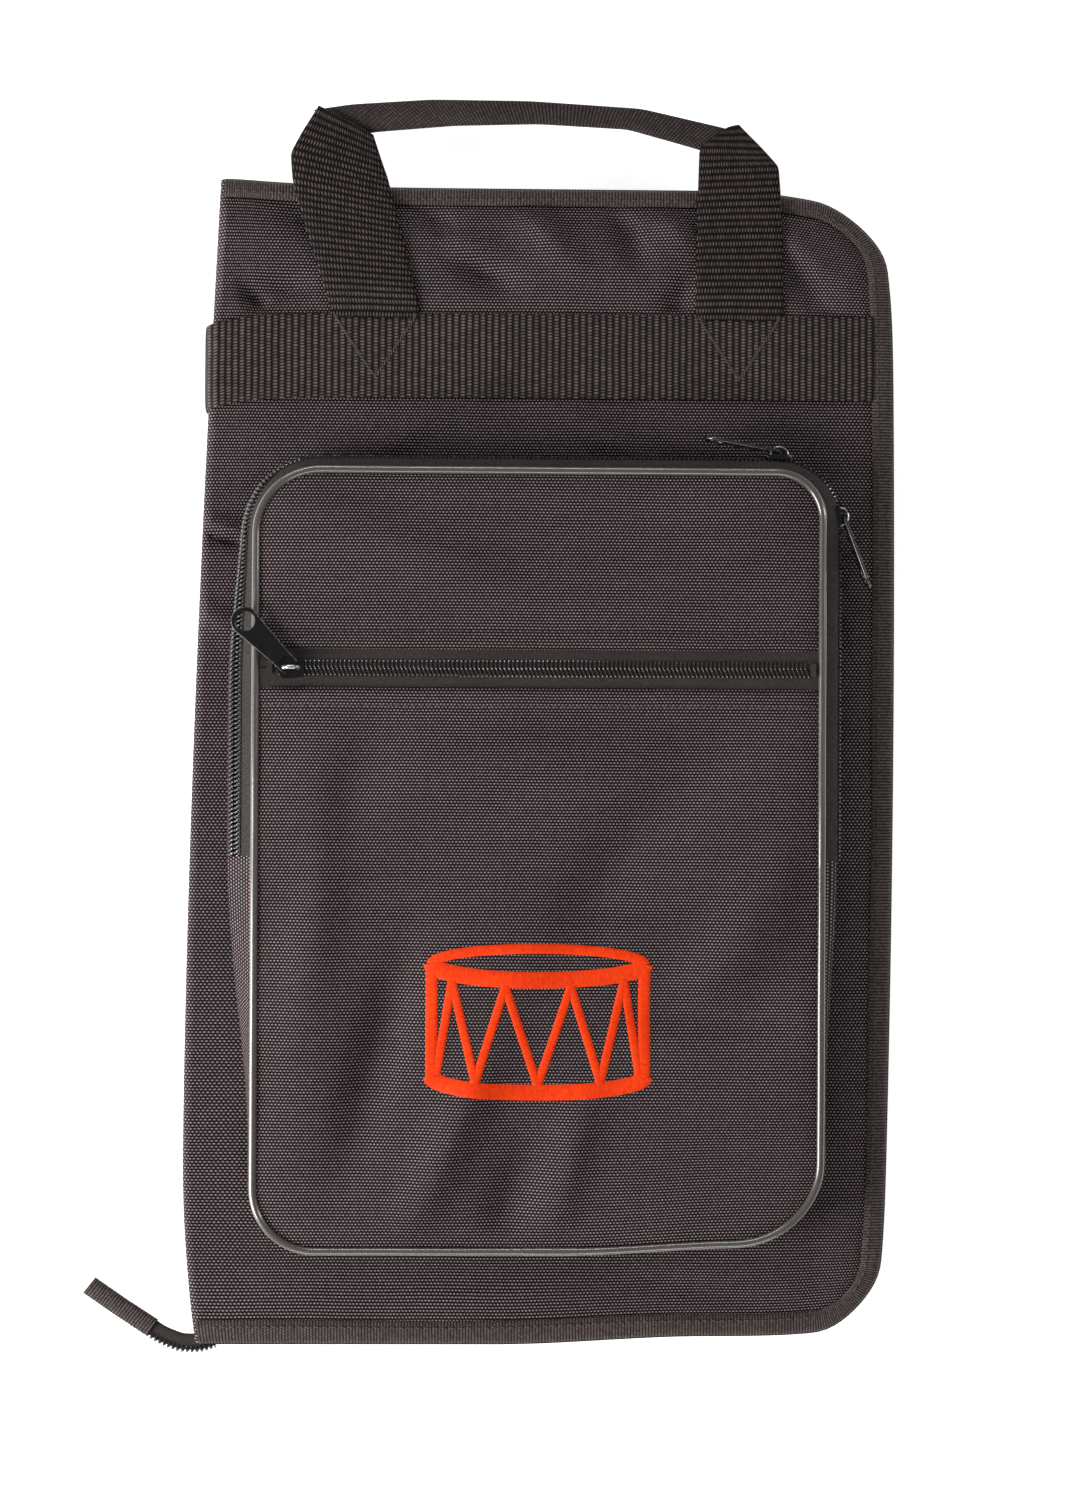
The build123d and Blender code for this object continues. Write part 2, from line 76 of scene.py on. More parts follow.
# %% [markdown]
# ## Small tools for shapes
# A soft part is easiest to describe as a surface over two directions, such as along and across a strap.
# The tools below turn such a table of points into a mesh. They also store a map of how far each point is along
# and across the cloth, in metres, so that a weave keeps its true size and follows the cloth when it bends.

# %% Smooth steps and the limits of a part
def ease(t):
    """0 below t = 0, 1 above t = 1, and three t squared less two t cubed between them."""
    t = np.clip(t, 0, 1)
    return t * t * (3 - 2 * t)


def limits(node):
    """The lowest and highest corner of a part of the engineering model, as arrays."""
    low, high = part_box(node)
    return np.array(low), np.array(high)


# %% From a table of points to a mesh
def mesh_object(name, points, faces, uv, sharp=50):
    """An object from points (n, 3), faces (f, 4) and cloth coordinates (f, 4, 2).

    The signed volume is the sum of each triangle's scalar triple product over six. Where it is negative
    the faces point inwards, so they are turned round.
    """
    a, b, c, d = (points[faces[:, k]] for k in range(4))
    volume = (a * np.cross(b, c)).sum() + (a * np.cross(c, d)).sum()
    if volume < 0:
        faces, uv = faces[:, ::-1], uv[:, ::-1]
    mesh = bpy.data.meshes.new(name)
    mesh.vertices.add(len(points))
    mesh.vertices.foreach_set("co", points.astype(np.float32).ravel())
    mesh.loops.add(faces.size)
    mesh.loops.foreach_set("vertex_index", faces.astype(np.int32).ravel())
    mesh.polygons.add(len(faces))
    mesh.polygons.foreach_set("loop_start", np.arange(0, faces.size, 4, dtype=np.int32))
    layer = mesh.uv_layers.new(name="cloth")
    layer.uv.foreach_set("vector", uv.astype(np.float32).ravel())
    mesh.update(calc_edges=True)
    mesh.validate()
    mesh.shade_smooth()
    mesh.set_sharp_from_angle(angle=np.radians(sharp))
    piece = bpy.data.objects.new(name, mesh)
    bpy.context.scene.collection.objects.link(piece)
    return piece


def carried(name, table, along, around, closed=False):
    """A tube or strap from a table of points (rows, profile, 3), whose profile is closed.

    Each row is the profile at one place along the path. An open path gets an end wall, made by joining the
    first half of the profile to the second half across it.
    """
    rows, count = table.shape[:2]
    i, j = np.meshgrid(np.arange(rows if closed else rows - 1), np.arange(count), indexing="ij")
    i, j = i.ravel(), j.ravel()
    row = np.stack([i, i + 1, i + 1, i], -1)
    column = np.stack([j, j, j + 1, j + 1], -1)
    if not closed:
        k = np.arange(count // 2 - 1)
        wall = np.stack([k, k + 1, count - 2 - k, count - 1 - k], -1)
        first, last = np.zeros_like(wall), np.full_like(wall, rows - 1)
        row = np.concatenate([row, first, last])
        column = np.concatenate([column, wall, wall[:, ::-1]])
    faces = (row % rows) * count + column % count
    return mesh_object(name, table.reshape(-1, 3), faces, np.stack([along[row], around[column]], -1))


def slab(name, top, bottom, uv):
    """A sheet with thickness from two tables of points (rows, columns, 3), joined round their rims."""
    rows, columns = top.shape[:2]
    i, j = np.meshgrid(np.arange(rows - 1), np.arange(columns - 1), indexing="ij")
    i, j = i.ravel(), j.ravel()
    upper = np.stack([i * columns + j, i * columns + j + 1, (i + 1) * columns + j + 1, (i + 1) * columns + j], -1)
    total = rows * columns
    index = np.arange(total).reshape(rows, columns)
    rim = np.concatenate([index[0, :-1], index[:-1, -1], index[-1, :0:-1], index[:0:-1, 0]])
    after = np.roll(rim, -1)
    wall = np.stack([rim, rim + total, after + total, after], -1)
    faces = np.concatenate([upper, upper[:, ::-1] + total, wall])
    points = np.concatenate([top.reshape(-1, 3), bottom.reshape(-1, 3)])
    spread = np.concatenate([uv.reshape(-1, 2), uv.reshape(-1, 2)])
    return mesh_object(name, points, faces, spread[faces])


def lengths(points):
    """How far each point of a line is along it: the running sum of the distances between neighbours."""
    steps = np.linalg.norm(np.diff(points, axis=0), axis=1)
    return np.concatenate([[0], np.cumsum(steps)])


def strap_profile(width, thick, count=13, power=5):
    """A flat strap's cross-section: a superellipse, |2x/w|^p + |2z/t|^p = 1, from one edge over the top
    to the other edge and back underneath. Returns across and up, and the distance round it."""
    x = np.sin(np.linspace(-np.pi / 2, np.pi / 2, count))
    z = (1 - np.abs(x) ** power).clip(0) ** (1 / power)
    z[[0, -1]] = 0.15
    across = np.concatenate([x, x[::-1]]) * width / 2
    up = np.concatenate([z, -z[::-1]]) * thick / 2
    around = np.concatenate([x, x[::-1], x[:1]]) * width / 2
    return across, up, around


# %% A line round a rectangle with rounded corners
def rounded_loop(low, high, radii, step=1.5 * MM):
    """Points, outward directions and distances round a rectangle with rounded corners, anticlockwise.

    Each corner is a quarter circle about its own centre. The straight runs between them appear when the whole
    line is divided again into equal steps. radii are bottom right, top right, top left, bottom left.
    """
    signs = np.array([(1, -1), (1, 1), (-1, 1), (-1, -1)], float)
    radii = np.array(radii, float)
    centres = (low + high) / 2 + signs * ((high - low) / 2 - radii[:, None])
    angles = np.radians([-90, 0, 90, 180])[:, None] + np.linspace(0, np.pi / 2, 31)
    out = np.stack([np.cos(angles), np.sin(angles)], -1)
    points = (centres[:, None] + radii[:, None, None] * out).reshape(-1, 2)
    out = out.reshape(-1, 2)
    points, out = np.concatenate([points, points[:1]]), np.concatenate([out, out[:1]])
    at = lengths(points)
    even = np.linspace(0, at[-1], int(at[-1] / step), endpoint=False)
    points = np.stack([np.interp(even, at, points[:, k]) for k in (0, 1)], -1)
    out = np.stack([np.interp(even, at, out[:, k]) for k in (0, 1)], -1)
    return points, out / np.linalg.norm(out, axis=1)[:, None]


# %% [markdown]
# ## The stance of the bag
# A sewn bag is never a perfect rectangle. Its spine leans in towards the handle, its long edges bow a little, and
# its foot sags at one side. One function moves every part of the covers in the same way, so that seams,
# bindings and zips stay together.

# %% Measures of the covers, and the lean
fabric_low, fabric_high = limits("front_fabric")
binding_low, binding_high = limits("front_binding")
spine_low, spine_high = limits("spine_fabric")
LEFT, RIGHT, HALF = spine_low[0], binding_high[0], binding_high[1]
FRONT = fabric_high[2]
CORNER = 32 * MM
print("cover %.0f x %.0f mm" % ((RIGHT - LEFT) / MM, 2 * HALF / MM))


def settle(points):
    """Moves points sideways and lengthways by the lean: a power curve along the spine, a shallow parabola
    along the opening edge, a soft step along the foot, and a bell-shaped pull on each of the two free corners."""
    x, y = points[..., 0], points[..., 1]
    rise = np.clip((y + 0.170) / 0.420, 0, 1)
    dip = np.clip((-0.170 - y) / 0.078, 0, 1)
    lean = 0.014 * rise ** 1.6 - 0.006 * (1 - dip ** 2)
    bow = 0.002 - 0.05 * (y - 0.05) ** 2
    sag = -0.0026 + 0.0035 * ease((x + 0.020) / 0.090)
    peak = 0.0031 * np.exp(-((x + 0.147) / 0.045) ** 2) - 0.001
    droop = np.exp(-((x - 0.140) ** 2 + (y - 0.240) ** 2) / 0.034 ** 2)
    curl = np.exp(-((x - 0.142) ** 2 + (y + 0.240) ** 2) / 0.030 ** 2)
    moved = points.copy()
    moved[..., 0] -= 0.0035 * droop + 0.002 * curl
    moved[..., 1] -= 0.0065 * droop - 0.003 * curl
    moved[..., 0] += lean * ease((-0.118 - x) / 0.028) + bow * ease((x - 0.118) / 0.028)
    moved[..., 1] += sag * ease((-0.215 - y) / 0.03) + peak * ease((y - 0.215) / 0.03)
    return moved


# %% [markdown]
# ## Cloth and its finishes
# From close by, the outer cloth is a thick basket weave: short dashes laid like bricks, with gaps between them.
# The straps are ribbed and each rib is a row of small beads. Picture files could show this, but they blur when
# the camera comes close, so each weave is worked out by the shader from the cloth coordinates.
# Every weave is a node group, which is built once and used by several materials with their own sizes.
# Each group's colour is painted light on the crests of its dashes, beads or ridges, which is a painted highlight,
# and dark in the gaps between them, which is a painted shade.

# %% Helpers for shader nodes
def feed(tree, socket, value):
    """Links a socket to another node's output, or sets its value."""
    if isinstance(value, bpy.types.NodeSocket):
        tree.links.new(value, socket)
    else:
        socket.default_value = value


def calc(tree, operation, *values):
    """One Math node with its inputs."""
    node = tree.nodes.new("ShaderNodeMath")
    node.operation = operation
    for socket, value in zip(node.inputs, values):
        feed(tree, socket, value)
    return node.outputs[0]


def new_group(name, inputs, outputs):
    """A node group with named float inputs (name: value) and named float outputs, after a Vector input."""
    tree = bpy.data.node_groups.new(name, "ShaderNodeTree")
    tree.interface.new_socket("Vector", in_out="INPUT", socket_type="NodeSocketVector")
    for label, value in inputs.items():
        tree.interface.new_socket(label, in_out="INPUT", socket_type="NodeSocketFloat").default_value = value
    for label in outputs:
        tree.interface.new_socket(label, in_out="OUTPUT", socket_type="NodeSocketFloat")
    source, sink = tree.nodes.new("NodeGroupInput"), tree.nodes.new("NodeGroupOutput")
    return tree, source.outputs, sink.inputs


def noise(tree, vector, scale, detail=2.0):
    """One Noise Texture's value."""
    node = tree.nodes.new("ShaderNodeTexNoise")
    feed(tree, node.inputs["Vector"], vector)
    node.inputs["Scale"].default_value = scale
    node.inputs["Detail"].default_value = detail
    return node.outputs[0]


def split(tree, vector):
    """The x and y of a vector."""
    node = tree.nodes.new("ShaderNodeSeparateXYZ")
    feed(tree, node.inputs[0], vector)
    return node.outputs[0], node.outputs[1]


def drift(tree, vector, value, scale, amount):
    """A coordinate moved by slow noise, as threads wander in real cloth."""
    wander = calc(tree, "SUBTRACT", noise(tree, vector, scale, 1.0), 0.5)
    return calc(tree, "MULTIPLY_ADD", wander, amount, value)


def white(tree, *values):
    """A random value from 0 to 1 for each whole-number place."""
    join = tree.nodes.new("ShaderNodeCombineXYZ")
    for socket, value in zip(join.inputs, values):
        feed(tree, socket, value)
    node = tree.nodes.new("ShaderNodeTexWhiteNoise")
    node.noise_dimensions = "3D"
    tree.links.new(join.outputs[0], node.inputs["Vector"])
    return node.outputs["Value"]


def hill(tree, value):
    """One minus the square of twice (the fraction of value less a half): a hill in each unit step."""
    centred = calc(tree, "SUBTRACT", calc(tree, "FRACT", value), 0.5)
    doubled = calc(tree, "MULTIPLY", centred, 2.0)
    return calc(tree, "SUBTRACT", 1.0, calc(tree, "MULTIPLY", doubled, doubled))


# %% The basket weave of the outer cloth
weave, inp, out = new_group("basket weave", {"Width": 1.5 * MM, "Height": 1.28 * MM, "Wander": 0.6 * MM},
                            ["Height", "Thread and highlight", "Shade"])
x, y = split(weave, inp["Vector"])
x = drift(weave, inp["Vector"], x, 35.0, inp["Wander"])
y = drift(weave, inp["Vector"], y, 28.0, inp["Wander"])
rows = calc(weave, "DIVIDE", y, inp["Height"])
row = calc(weave, "FLOOR", rows)
offset = calc(weave, "MULTIPLY", calc(weave, "MODULO", row, 2.0), 0.5)
columns = calc(weave, "ADD", calc(weave, "DIVIDE", x, inp["Width"]), offset)
dash = calc(weave, "MULTIPLY", hill(weave, columns), calc(weave, "POWER", hill(weave, rows), 1.6))
speck = white(weave, calc(weave, "FLOOR", columns), row, 0.0)
feed(weave, out["Height"], dash)
# Thread and highlight is painted light. Each dash's crest is light, a painted highlight on the yarn, and its edges and
# the gaps are dark, a painted shade. speck adds a little random tone.
feed(weave, out["Thread and highlight"], calc(weave, "MULTIPLY", calc(weave, "POWER", dash, 3.2),
                                calc(weave, "MULTIPLY_ADD", speck, 0.3, 0.85)))
feed(weave, out["Shade"], noise(weave, inp["Vector"], 22.0, 4.0))

# %% The beaded ribs of webbing and of bound edges
ribs, inp, out = new_group("beaded ribs", {"Rib": 2.85 * MM, "Bead": 1.3 * MM, "Beading": 0.7},
                           ["Height", "Thread and highlight", "Shade"])
x, y = split(ribs, inp["Vector"])
x = drift(ribs, inp["Vector"], x, 60.0, 0.5 * MM)
steps = calc(ribs, "DIVIDE", x, inp["Rib"])
rib = calc(ribs, "FLOOR", steps)
beads = calc(ribs, "MULTIPLY_ADD", rib, 0.5, calc(ribs, "DIVIDE", y, inp["Bead"]))
bead = calc(ribs, "POWER", hill(ribs, beads), 1.3)
crest = calc(ribs, "POWER", hill(ribs, steps), 0.8)
plain = calc(ribs, "SUBTRACT", 1.0, inp["Beading"])
height = calc(ribs, "MULTIPLY", crest, calc(ribs, "MULTIPLY_ADD", bead, inp["Beading"], plain))
speck = white(ribs, calc(ribs, "FLOOR", beads), rib, 3.0)
feed(ribs, out["Height"], height)
# Thread and highlight: each bead is lighter on its crest, a painted highlight, and darker between beads and ribs, a
# painted shade, with a random tone for each bead.
feed(ribs, out["Thread and highlight"], calc(ribs, "MULTIPLY", calc(ribs, "POWER", height, 3.2),
                               calc(ribs, "MULTIPLY_ADD", speck, 0.7, 0.65)))
feed(ribs, out["Shade"], noise(ribs, inp["Vector"], 30.0, 4.0))

# %% The fine herringbone of zip tape and lining
twill, inp, out = new_group("herringbone", {"Pitch": 0.9 * MM, "Panel": 3.2 * MM}, ["Height", "Thread and highlight", "Shade"])
x, y = split(twill, inp["Vector"])
zigzag = calc(twill, "PINGPONG", y, inp["Panel"])
lines = calc(twill, "DIVIDE", calc(twill, "ADD", x, zigzag), inp["Pitch"])
ridge = hill(twill, lines)
feed(twill, out["Height"], ridge)
# Thread and highlight: lighter on each twill ridge, a painted highlight, and darker between ridges, a painted shade,
# broken up by fine random noise.
feed(twill, out["Thread and highlight"], calc(twill, "MULTIPLY", ridge, noise(twill, inp["Vector"], 900.0, 1.0)))
feed(twill, out["Shade"], noise(twill, inp["Vector"], 40.0, 3.0))


# %% Cloth materials
def colour_mix(tree, factor, dark, light):
    """A colour between two, by a factor."""
    node = tree.nodes.new("ShaderNodeMix")
    node.data_type = "RGBA"
    feed(tree, node.inputs[0], factor)
    feed(tree, node.inputs[6], (*dark, 1.0) if isinstance(dark, tuple) else dark)
    feed(tree, node.inputs[7], (*light, 1.0) if isinstance(light, tuple) else light)
    return node.outputs[2]


def start_material(name, roughness, sheen=0.0, shine=0.5):
    """A material with its shader, and the shader's constant values set on it directly."""
    material = bpy.data.materials.new(name)
    material.use_nodes = True
    tree = material.node_tree
    shader = tree.nodes["Principled BSDF"]
    shader.inputs["Roughness"].default_value = roughness
    shader.inputs["Sheen Weight"].default_value = sheen
    shader.inputs["Sheen Roughness"].default_value = 0.4
    shader.inputs["Specular IOR Level"].default_value = shine
    return material, tree, shader


def cloth_coordinates(tree):
    node = tree.nodes.new("ShaderNodeUVMap")
    node.uv_map = "cloth"
    return node.outputs[0]


def bump(tree, shader, height, strength, distance):
    node = tree.nodes.new("ShaderNodeBump")
    node.inputs["Strength"].default_value = strength
    node.inputs["Distance"].default_value = distance
    feed(tree, node.inputs["Height"], height)
    feed(tree, shader.inputs["Normal"], node.outputs[0])


def cloth(name, group, dark, light, roughness=0.7, relief=0.3 * MM, shine=0.2, **sizes):
    """A woven material: the group's threads go from the dark colour, a painted shade in the gaps, to the light colour,
    a painted highlight on the crests, and slow noise shades both.
    """
    material, tree, shader = start_material(name, roughness, shine=shine)
    node = tree.nodes.new("ShaderNodeGroup")
    node.node_tree = group
    feed(tree, node.inputs["Vector"], cloth_coordinates(tree))
    for label, value in sizes.items():
        node.inputs[label].default_value = value
    threads_and_highlight = colour_mix(tree, node.outputs["Thread and highlight"], dark, light)
    shade = calc(tree, "MULTIPLY_ADD", node.outputs["Shade"], 0.5, 0.75)
    tint = tree.nodes.new("ShaderNodeVectorMath")
    tint.operation = "SCALE"
    feed(tree, tint.inputs[0], threads_and_highlight)
    feed(tree, tint.inputs["Scale"], shade)
    feed(tree, shader.inputs["Base Color"], tint.outputs[0])
    bump(tree, shader, node.outputs["Height"], 0.7, relief)
    return material


# In each cloth, the dark colour is painted shade in the weave's gaps and the light colour is painted highlight on its
# crests.
OXFORD = cloth("oxford cloth", weave, (0.004, 0.003, 0.003), (0.42, 0.31, 0.33), 0.45, 0.5 * MM, 0.1)
WEBBING = cloth("webbing", ribs, (0.004, 0.003, 0.0025), (0.18, 0.135, 0.12), 0.5, 0.45 * MM, 0.15)
# The legs are the band's webbing, painted darker than the band as painted shade.
SHADED_HANDLE_WEBBING = cloth("handle webbing painted darker", ribs, (0.002, 0.0015, 0.0015), (0.135, 0.098, 0.09), 0.5, 0.5 * MM, 0.1,
               Beading=0.9)
GRIP = cloth("folded grip", ribs, (0.012, 0.009, 0.008), (0.10, 0.078, 0.072), 0.55, 0.3 * MM, 0.15,
             Rib=1.5 * MM, Beading=0.4)
BINDING = cloth("binding tape", ribs, (0.008, 0.006, 0.005), (0.15, 0.115, 0.105), 0.6,
                Rib=1.3 * MM, Bead=1.0 * MM, Beading=0.25)
ZIP_TAPE = cloth("zip tape", twill, (0.018, 0.015, 0.014), (0.085, 0.075, 0.07), 0.8, 0.12 * MM, 0.15)
LINING = cloth("lining", weave, (0.016, 0.016, 0.017), (0.05, 0.05, 0.055), 0.75, 0.08 * MM,
               Width=0.7 * MM, Height=0.6 * MM)

# %% [markdown]
# ## Smooth finishes
# The piping is soft vinyl with a high shine, the zip coils are nylon wire, and the sliders are enamelled metal.
# They share one group that puts faint scuffs and dust on a surface, because nothing carried about stays perfect.

# %% Scuffs, vinyl, nylon and enamel
scuffs, inp, out = new_group("scuffs", {"Scale": 300.0, "Amount": 0.3}, ["Mask", "Height"])
broad = noise(scuffs, inp["Vector"], 60.0, 3.0)
node = scuffs.nodes.new("ShaderNodeTexNoise")
feed(scuffs, node.inputs["Vector"], inp["Vector"])
feed(scuffs, node.inputs["Scale"], inp["Scale"])
node.inputs["Detail"].default_value = 5.0
fine = calc(scuffs, "POWER", node.outputs[0], 4.0)
feed(scuffs, out["Mask"], calc(scuffs, "MULTIPLY", calc(scuffs, "MULTIPLY", fine, broad), inp["Amount"]))
feed(scuffs, out["Height"], fine)


def smooth_finish(name, colour, roughness, amount, worn, metallic=0.0, coat=0.0, scale=300.0, shine=0.5):
    """A smooth material: scuffs lighten its colour and roughen its shine."""
    material, tree, shader = start_material(name, roughness, shine=shine)
    shader.inputs["Metallic"].default_value = metallic
    shader.inputs["Coat Weight"].default_value = coat
    shader.inputs["Coat Roughness"].default_value = 0.08
    place = tree.nodes.new("ShaderNodeTexCoord").outputs["Object"]
    node = tree.nodes.new("ShaderNodeGroup")
    node.node_tree = scuffs
    feed(tree, node.inputs["Vector"], place)
    node.inputs["Scale"].default_value = scale
    node.inputs["Amount"].default_value = amount
    mask = node.outputs["Mask"]
    feed(tree, shader.inputs["Base Color"], colour_mix(tree, mask, colour, worn))
    feed(tree, shader.inputs["Roughness"], calc(tree, "MULTIPLY_ADD", mask, 0.6, roughness))
    bump(tree, shader, node.outputs["Height"], 0.15, 0.05 * MM)
    return material


VINYL = smooth_finish("piping vinyl", (0.075, 0.064, 0.057), 0.3, 0.4, (0.25, 0.21, 0.19), coat=1.0,
                      shine=1.0)
NYLON = smooth_finish("nylon coil", (0.03, 0.027, 0.026), 0.2, 0.15, (0.15, 0.14, 0.13), coat=1.0, shine=1.0)
ENAMEL = smooth_finish("black enamel", (0.004, 0.004, 0.004), 0.16, 0.15, (0.22, 0.20, 0.19), coat=0.3)
FOAM = smooth_finish("foam board", (0.10, 0.10, 0.10), 0.9, 0.8, (0.2, 0.2, 0.2), scale=1500.0)
THREAD = smooth_finish("sewing thread", (0.060, 0.048, 0.044), 0.6, 0.6, (0.16, 0.13, 0.12), scale=2500.0)


def dress(piece, material, body, slot, *replaced):
    """Gives a finished piece its material and its body, and hides the parts that it stands for. slot is not used."""
    piece.data.materials.append(material)
    if body:
        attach(piece, body)
    if replaced:
        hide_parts(*replaced)
    return piece


# %% [markdown]
# ## The padded covers
# Each cover is a sandwich: outer cloth, a foam board, and a lining. The board is stiff, but the cloth over it
# is a little loose, so it rolls over the spine edge, dips under the binding and wrinkles near the handle, which
# pulls on it. A cloth simulation would give wrinkles in places of its own choosing. These are listed one by one:
# each one is a long low hill or valley with its own place, direction, length and height.

# %% The tables of the cover's surface
def cover_tables(columns=190, rows=190):
    """x and y over a cover. Rows follow the sine of an angle in the round corners, and columns crowd at both
    edges by s - 0.85 sin(2 pi s) / (2 pi)."""
    arc = HALF - CORNER + CORNER * np.sin(np.linspace(0, np.pi / 2, 14))
    middle = np.linspace(CORNER - HALF, HALF - CORNER, rows)[1:-1]
    y = np.concatenate([-arc[::-1], middle, arc])
    over = np.clip(np.abs(y) - HALF + CORNER, 0, None)
    right = RIGHT - CORNER + np.sqrt(CORNER ** 2 - over ** 2)
    s = np.linspace(0, 1, columns)
    s = s - 0.85 * np.sin(2 * np.pi * s) / (2 * np.pi)
    x = LEFT + (right[:, None] - LEFT) * s
    return x, np.repeat(y[:, None], columns, 1)


def from_bound_edge(x, y):
    """Distance inwards from the three bound edges: straight, and radial in the two round corners."""
    dx, dy = x - RIGHT + CORNER, np.abs(y) - HALF + CORNER
    corner = CORNER - np.hypot(dx, dy)
    return np.where((dx > 0) & (dy > 0), corner, np.minimum(RIGHT - x, HALF - np.abs(y)))


def wrinkles(x, y, folds):
    """The sum of long hills: height times exp(-(across/width)^2 - (along/length)^2), in millimetres."""
    total = np.zeros_like(x)
    for fx, fy, degrees, long, wide, height in folds:
        c, s = np.cos(np.radians(degrees)), np.sin(np.radians(degrees))
        dx, dy = x / MM - fx, y / MM - fy
        along, across = dx * c + dy * s, dy * c - dx * s
        total += height * np.exp(-(across / wide) ** 2 - (along / long) ** 2)
    return total * MM


FOLDS = (
    (-49, 232, -30, 12, 5.0, -1.7), (-27, 209, -30, 15, 6.0, -1.6), (-33, 219, -30, 15, 5.0, 1.2),
    (-2, 227, -43, 17, 6.0, 1.5), (34, 226, -62, 13, 5.0, -1.6), (56, 227, -36, 11, 5.0, 1.5),
    (57, 198, 60, 11, 5.0, -1.3), (-105, 234, -25, 18, 6.0, -1.5), (-111, 202, 10, 16, 6.0, -1.5),
    (-126, 196, -40, 9, 4.0, -1.4), (110, 206, -40, 13, 6.0, -1.4), (112, 219, -35, 14, 6.0, 0.9),
    (-137, 94, -12, 14, 2.2, -0.9), (-136, 99, -14, 14, 3.0, 0.8), (-138, 60, -20, 12, 5.0, 0.7),
    (130, 96, 50, 14, 5.0, -0.9), (131, 60, -50, 16, 6.0, 0.6), (-60, 140, 30, 20, 6.0, 0.5),
    (20, 142, -30, 24, 6.0, 0.5), (-20, -228, 8, 40, 6.0, 0.6), (70, -226, -12, 30, 5.0, -0.5),
)

# %% The outer cloth and the foam
cover_x, cover_y = cover_tables()
cover_uv = np.stack([cover_x, cover_y], -1)
ROLL = 4 * MM
near_spine = np.clip(ROLL - (cover_x - LEFT), 0, ROLL)
roll = ROLL - np.sqrt(ROLL ** 2 - near_spine ** 2)
pressed = 1.3 * MM * (1 - ease((from_bound_edge(cover_x, cover_y) - 4 * MM) / (9 * MM)))
band_low, band_high = limits("front_band")


def between(values, low, high):
    """A hump 4 t (1 - t) between two limits, and 0 outside them."""
    t = np.clip((values - low) / (high - low), 0, 1)
    return 4 * t * (1 - t)


puff = MM * (3.0 * between(cover_y, band_high[1], HALF - 6 * MM) + 0.8 * between(cover_y, 0.122, band_low[1]))
puff += 0.7 * MM * between(cover_x, 0.118, RIGHT) * ease((0.14 - cover_y) / 0.03)
under_band = ease((cover_y - band_low[1] + 2 * MM) / (3 * MM)) * ease((band_high[1] + 2 * MM - cover_y) / (3 * MM))
slack = (1 - under_band) * ease(from_bound_edge(cover_x, cover_y) / (14 * MM) - 0.3) * (1 - near_spine / ROLL)
for leg_x in (-80 * MM, 82 * MM):
    slack = slack * (1 - 0.55 * np.exp(-((cover_x - leg_x) / (24 * MM)) ** 4) * (cover_y > band_low[1]))
front_level = FRONT - roll - pressed + slack * (puff + 3.6 * wrinkles(cover_x, cover_y, FOLDS))
foam_low = limits("front_lining")[1][2]
front_level = np.maximum(front_level, foam_low + 0.4 * MM)
front_top = settle(np.stack([cover_x, cover_y, front_level], -1))
front_under = settle(np.stack([cover_x, cover_y, np.full_like(cover_x, foam_low)], -1))
front_pad = slab("front_cover_pad", front_top, front_under, cover_uv)
dress(front_pad, OXFORD, "front_cover", "oxford_fabric", "front_fabric", "front_foam")

back_inside = limits("back_lining")[0][2]
back_level = roll + pressed * 0.8 + under_band * (1.9 * MM) - 0.2 * MM * slack
back_under = settle(np.stack([cover_x, cover_y, back_level], -1))
back_top = settle(np.stack([cover_x, cover_y, np.full_like(cover_x, back_inside)], -1))
back_pad = slab("back_cover_pad", back_top, back_under, cover_uv)
dress(back_pad, OXFORD, "back_cover", "oxford_fabric", "back_fabric", "back_foam")
print("front cloth from %.1f to %.1f mm" % (front_level.min() / MM, front_level.max() / MM))

# %% The linings
inner_x = LEFT + 1.5 * MM + (cover_x - LEFT) * (1 - 3 * MM / (RIGHT - LEFT))
inner_y = cover_y * (1 - 2 * MM / HALF)
for name, node, body, sign in (("front_cover_lining", "front_lining", "front_cover", -1),
                               ("back_cover_lining", "back_lining", "back_cover", 1)):
    low, high = limits(node)
    seat, face = (high[2], low[2]) if sign < 0 else (low[2], high[2])
    quilt = 0.25 * MM * np.sin(inner_x / 0.013) * np.sin(inner_y / 0.017)
    sides = [settle(np.stack([inner_x, inner_y, np.full_like(inner_x, seat)], -1)),
             settle(np.stack([inner_x, inner_y, face + quilt], -1))]
    lining = slab(name, *(sides if sign < 0 else sides[::-1]), cover_uv)
    dress(lining, LINING, body, "lining_fabric", node)

# %% [markdown]
# ## Bound edges
# The raw edges of each cover are wrapped in ribbed tape on the three zipped sides and sewn through. The tape is
# one profile, over the edge and under it, carried along the outline. The stitches are separate short threads,
# because light catches each of them.

# %% The path of the three zipped sides
def open_path():
    """Points, outward directions and distances along the three zipped sides, from the foot round to the top."""
    low, high = np.array([LEFT, -HALF]), np.array([RIGHT, HALF])
    points, out = rounded_loop(low, high, (CORNER, CORNER, 1 * MM, 1 * MM))
    kept = points[:, 0] > LEFT + 1.2 * MM
    kept &= ~((points[:, 0] < LEFT + 2 * MM) & (np.abs(points[:, 1]) < HALF - 1 * MM))
    start = np.flatnonzero(~kept)[-1] + 1
    points, out, kept = (np.roll(a, -start, axis=0) for a in (points, out, kept))
    return points[kept], out[kept], lengths(points[kept])


def side_weights(out):
    """How much a place faces right, up, left and down: the squared parts of its outward direction."""
    x, y = out[:, 0], out[:, 1]
    return [np.clip(v, 0, 1) ** 2 for v in (x, y, -x, -y)]


def raised(points, out, offsets, levels):
    """A table of points: each path point moved outwards by offsets and set at levels."""
    flat = points[:, None] + out[:, None] * offsets[..., None]
    return np.concatenate([flat, np.broadcast_to(levels, offsets.shape)[..., None]], -1)


# %% The binding tape
edge_points, edge_out, edge_at = open_path()
right, top, left, foot = side_weights(edge_out)
tape_width = MM * (9.2 * right + 7.6 * top + 9.0 * left + 9.8 * foot + 0.22 * np.sin(edge_at / 0.021))


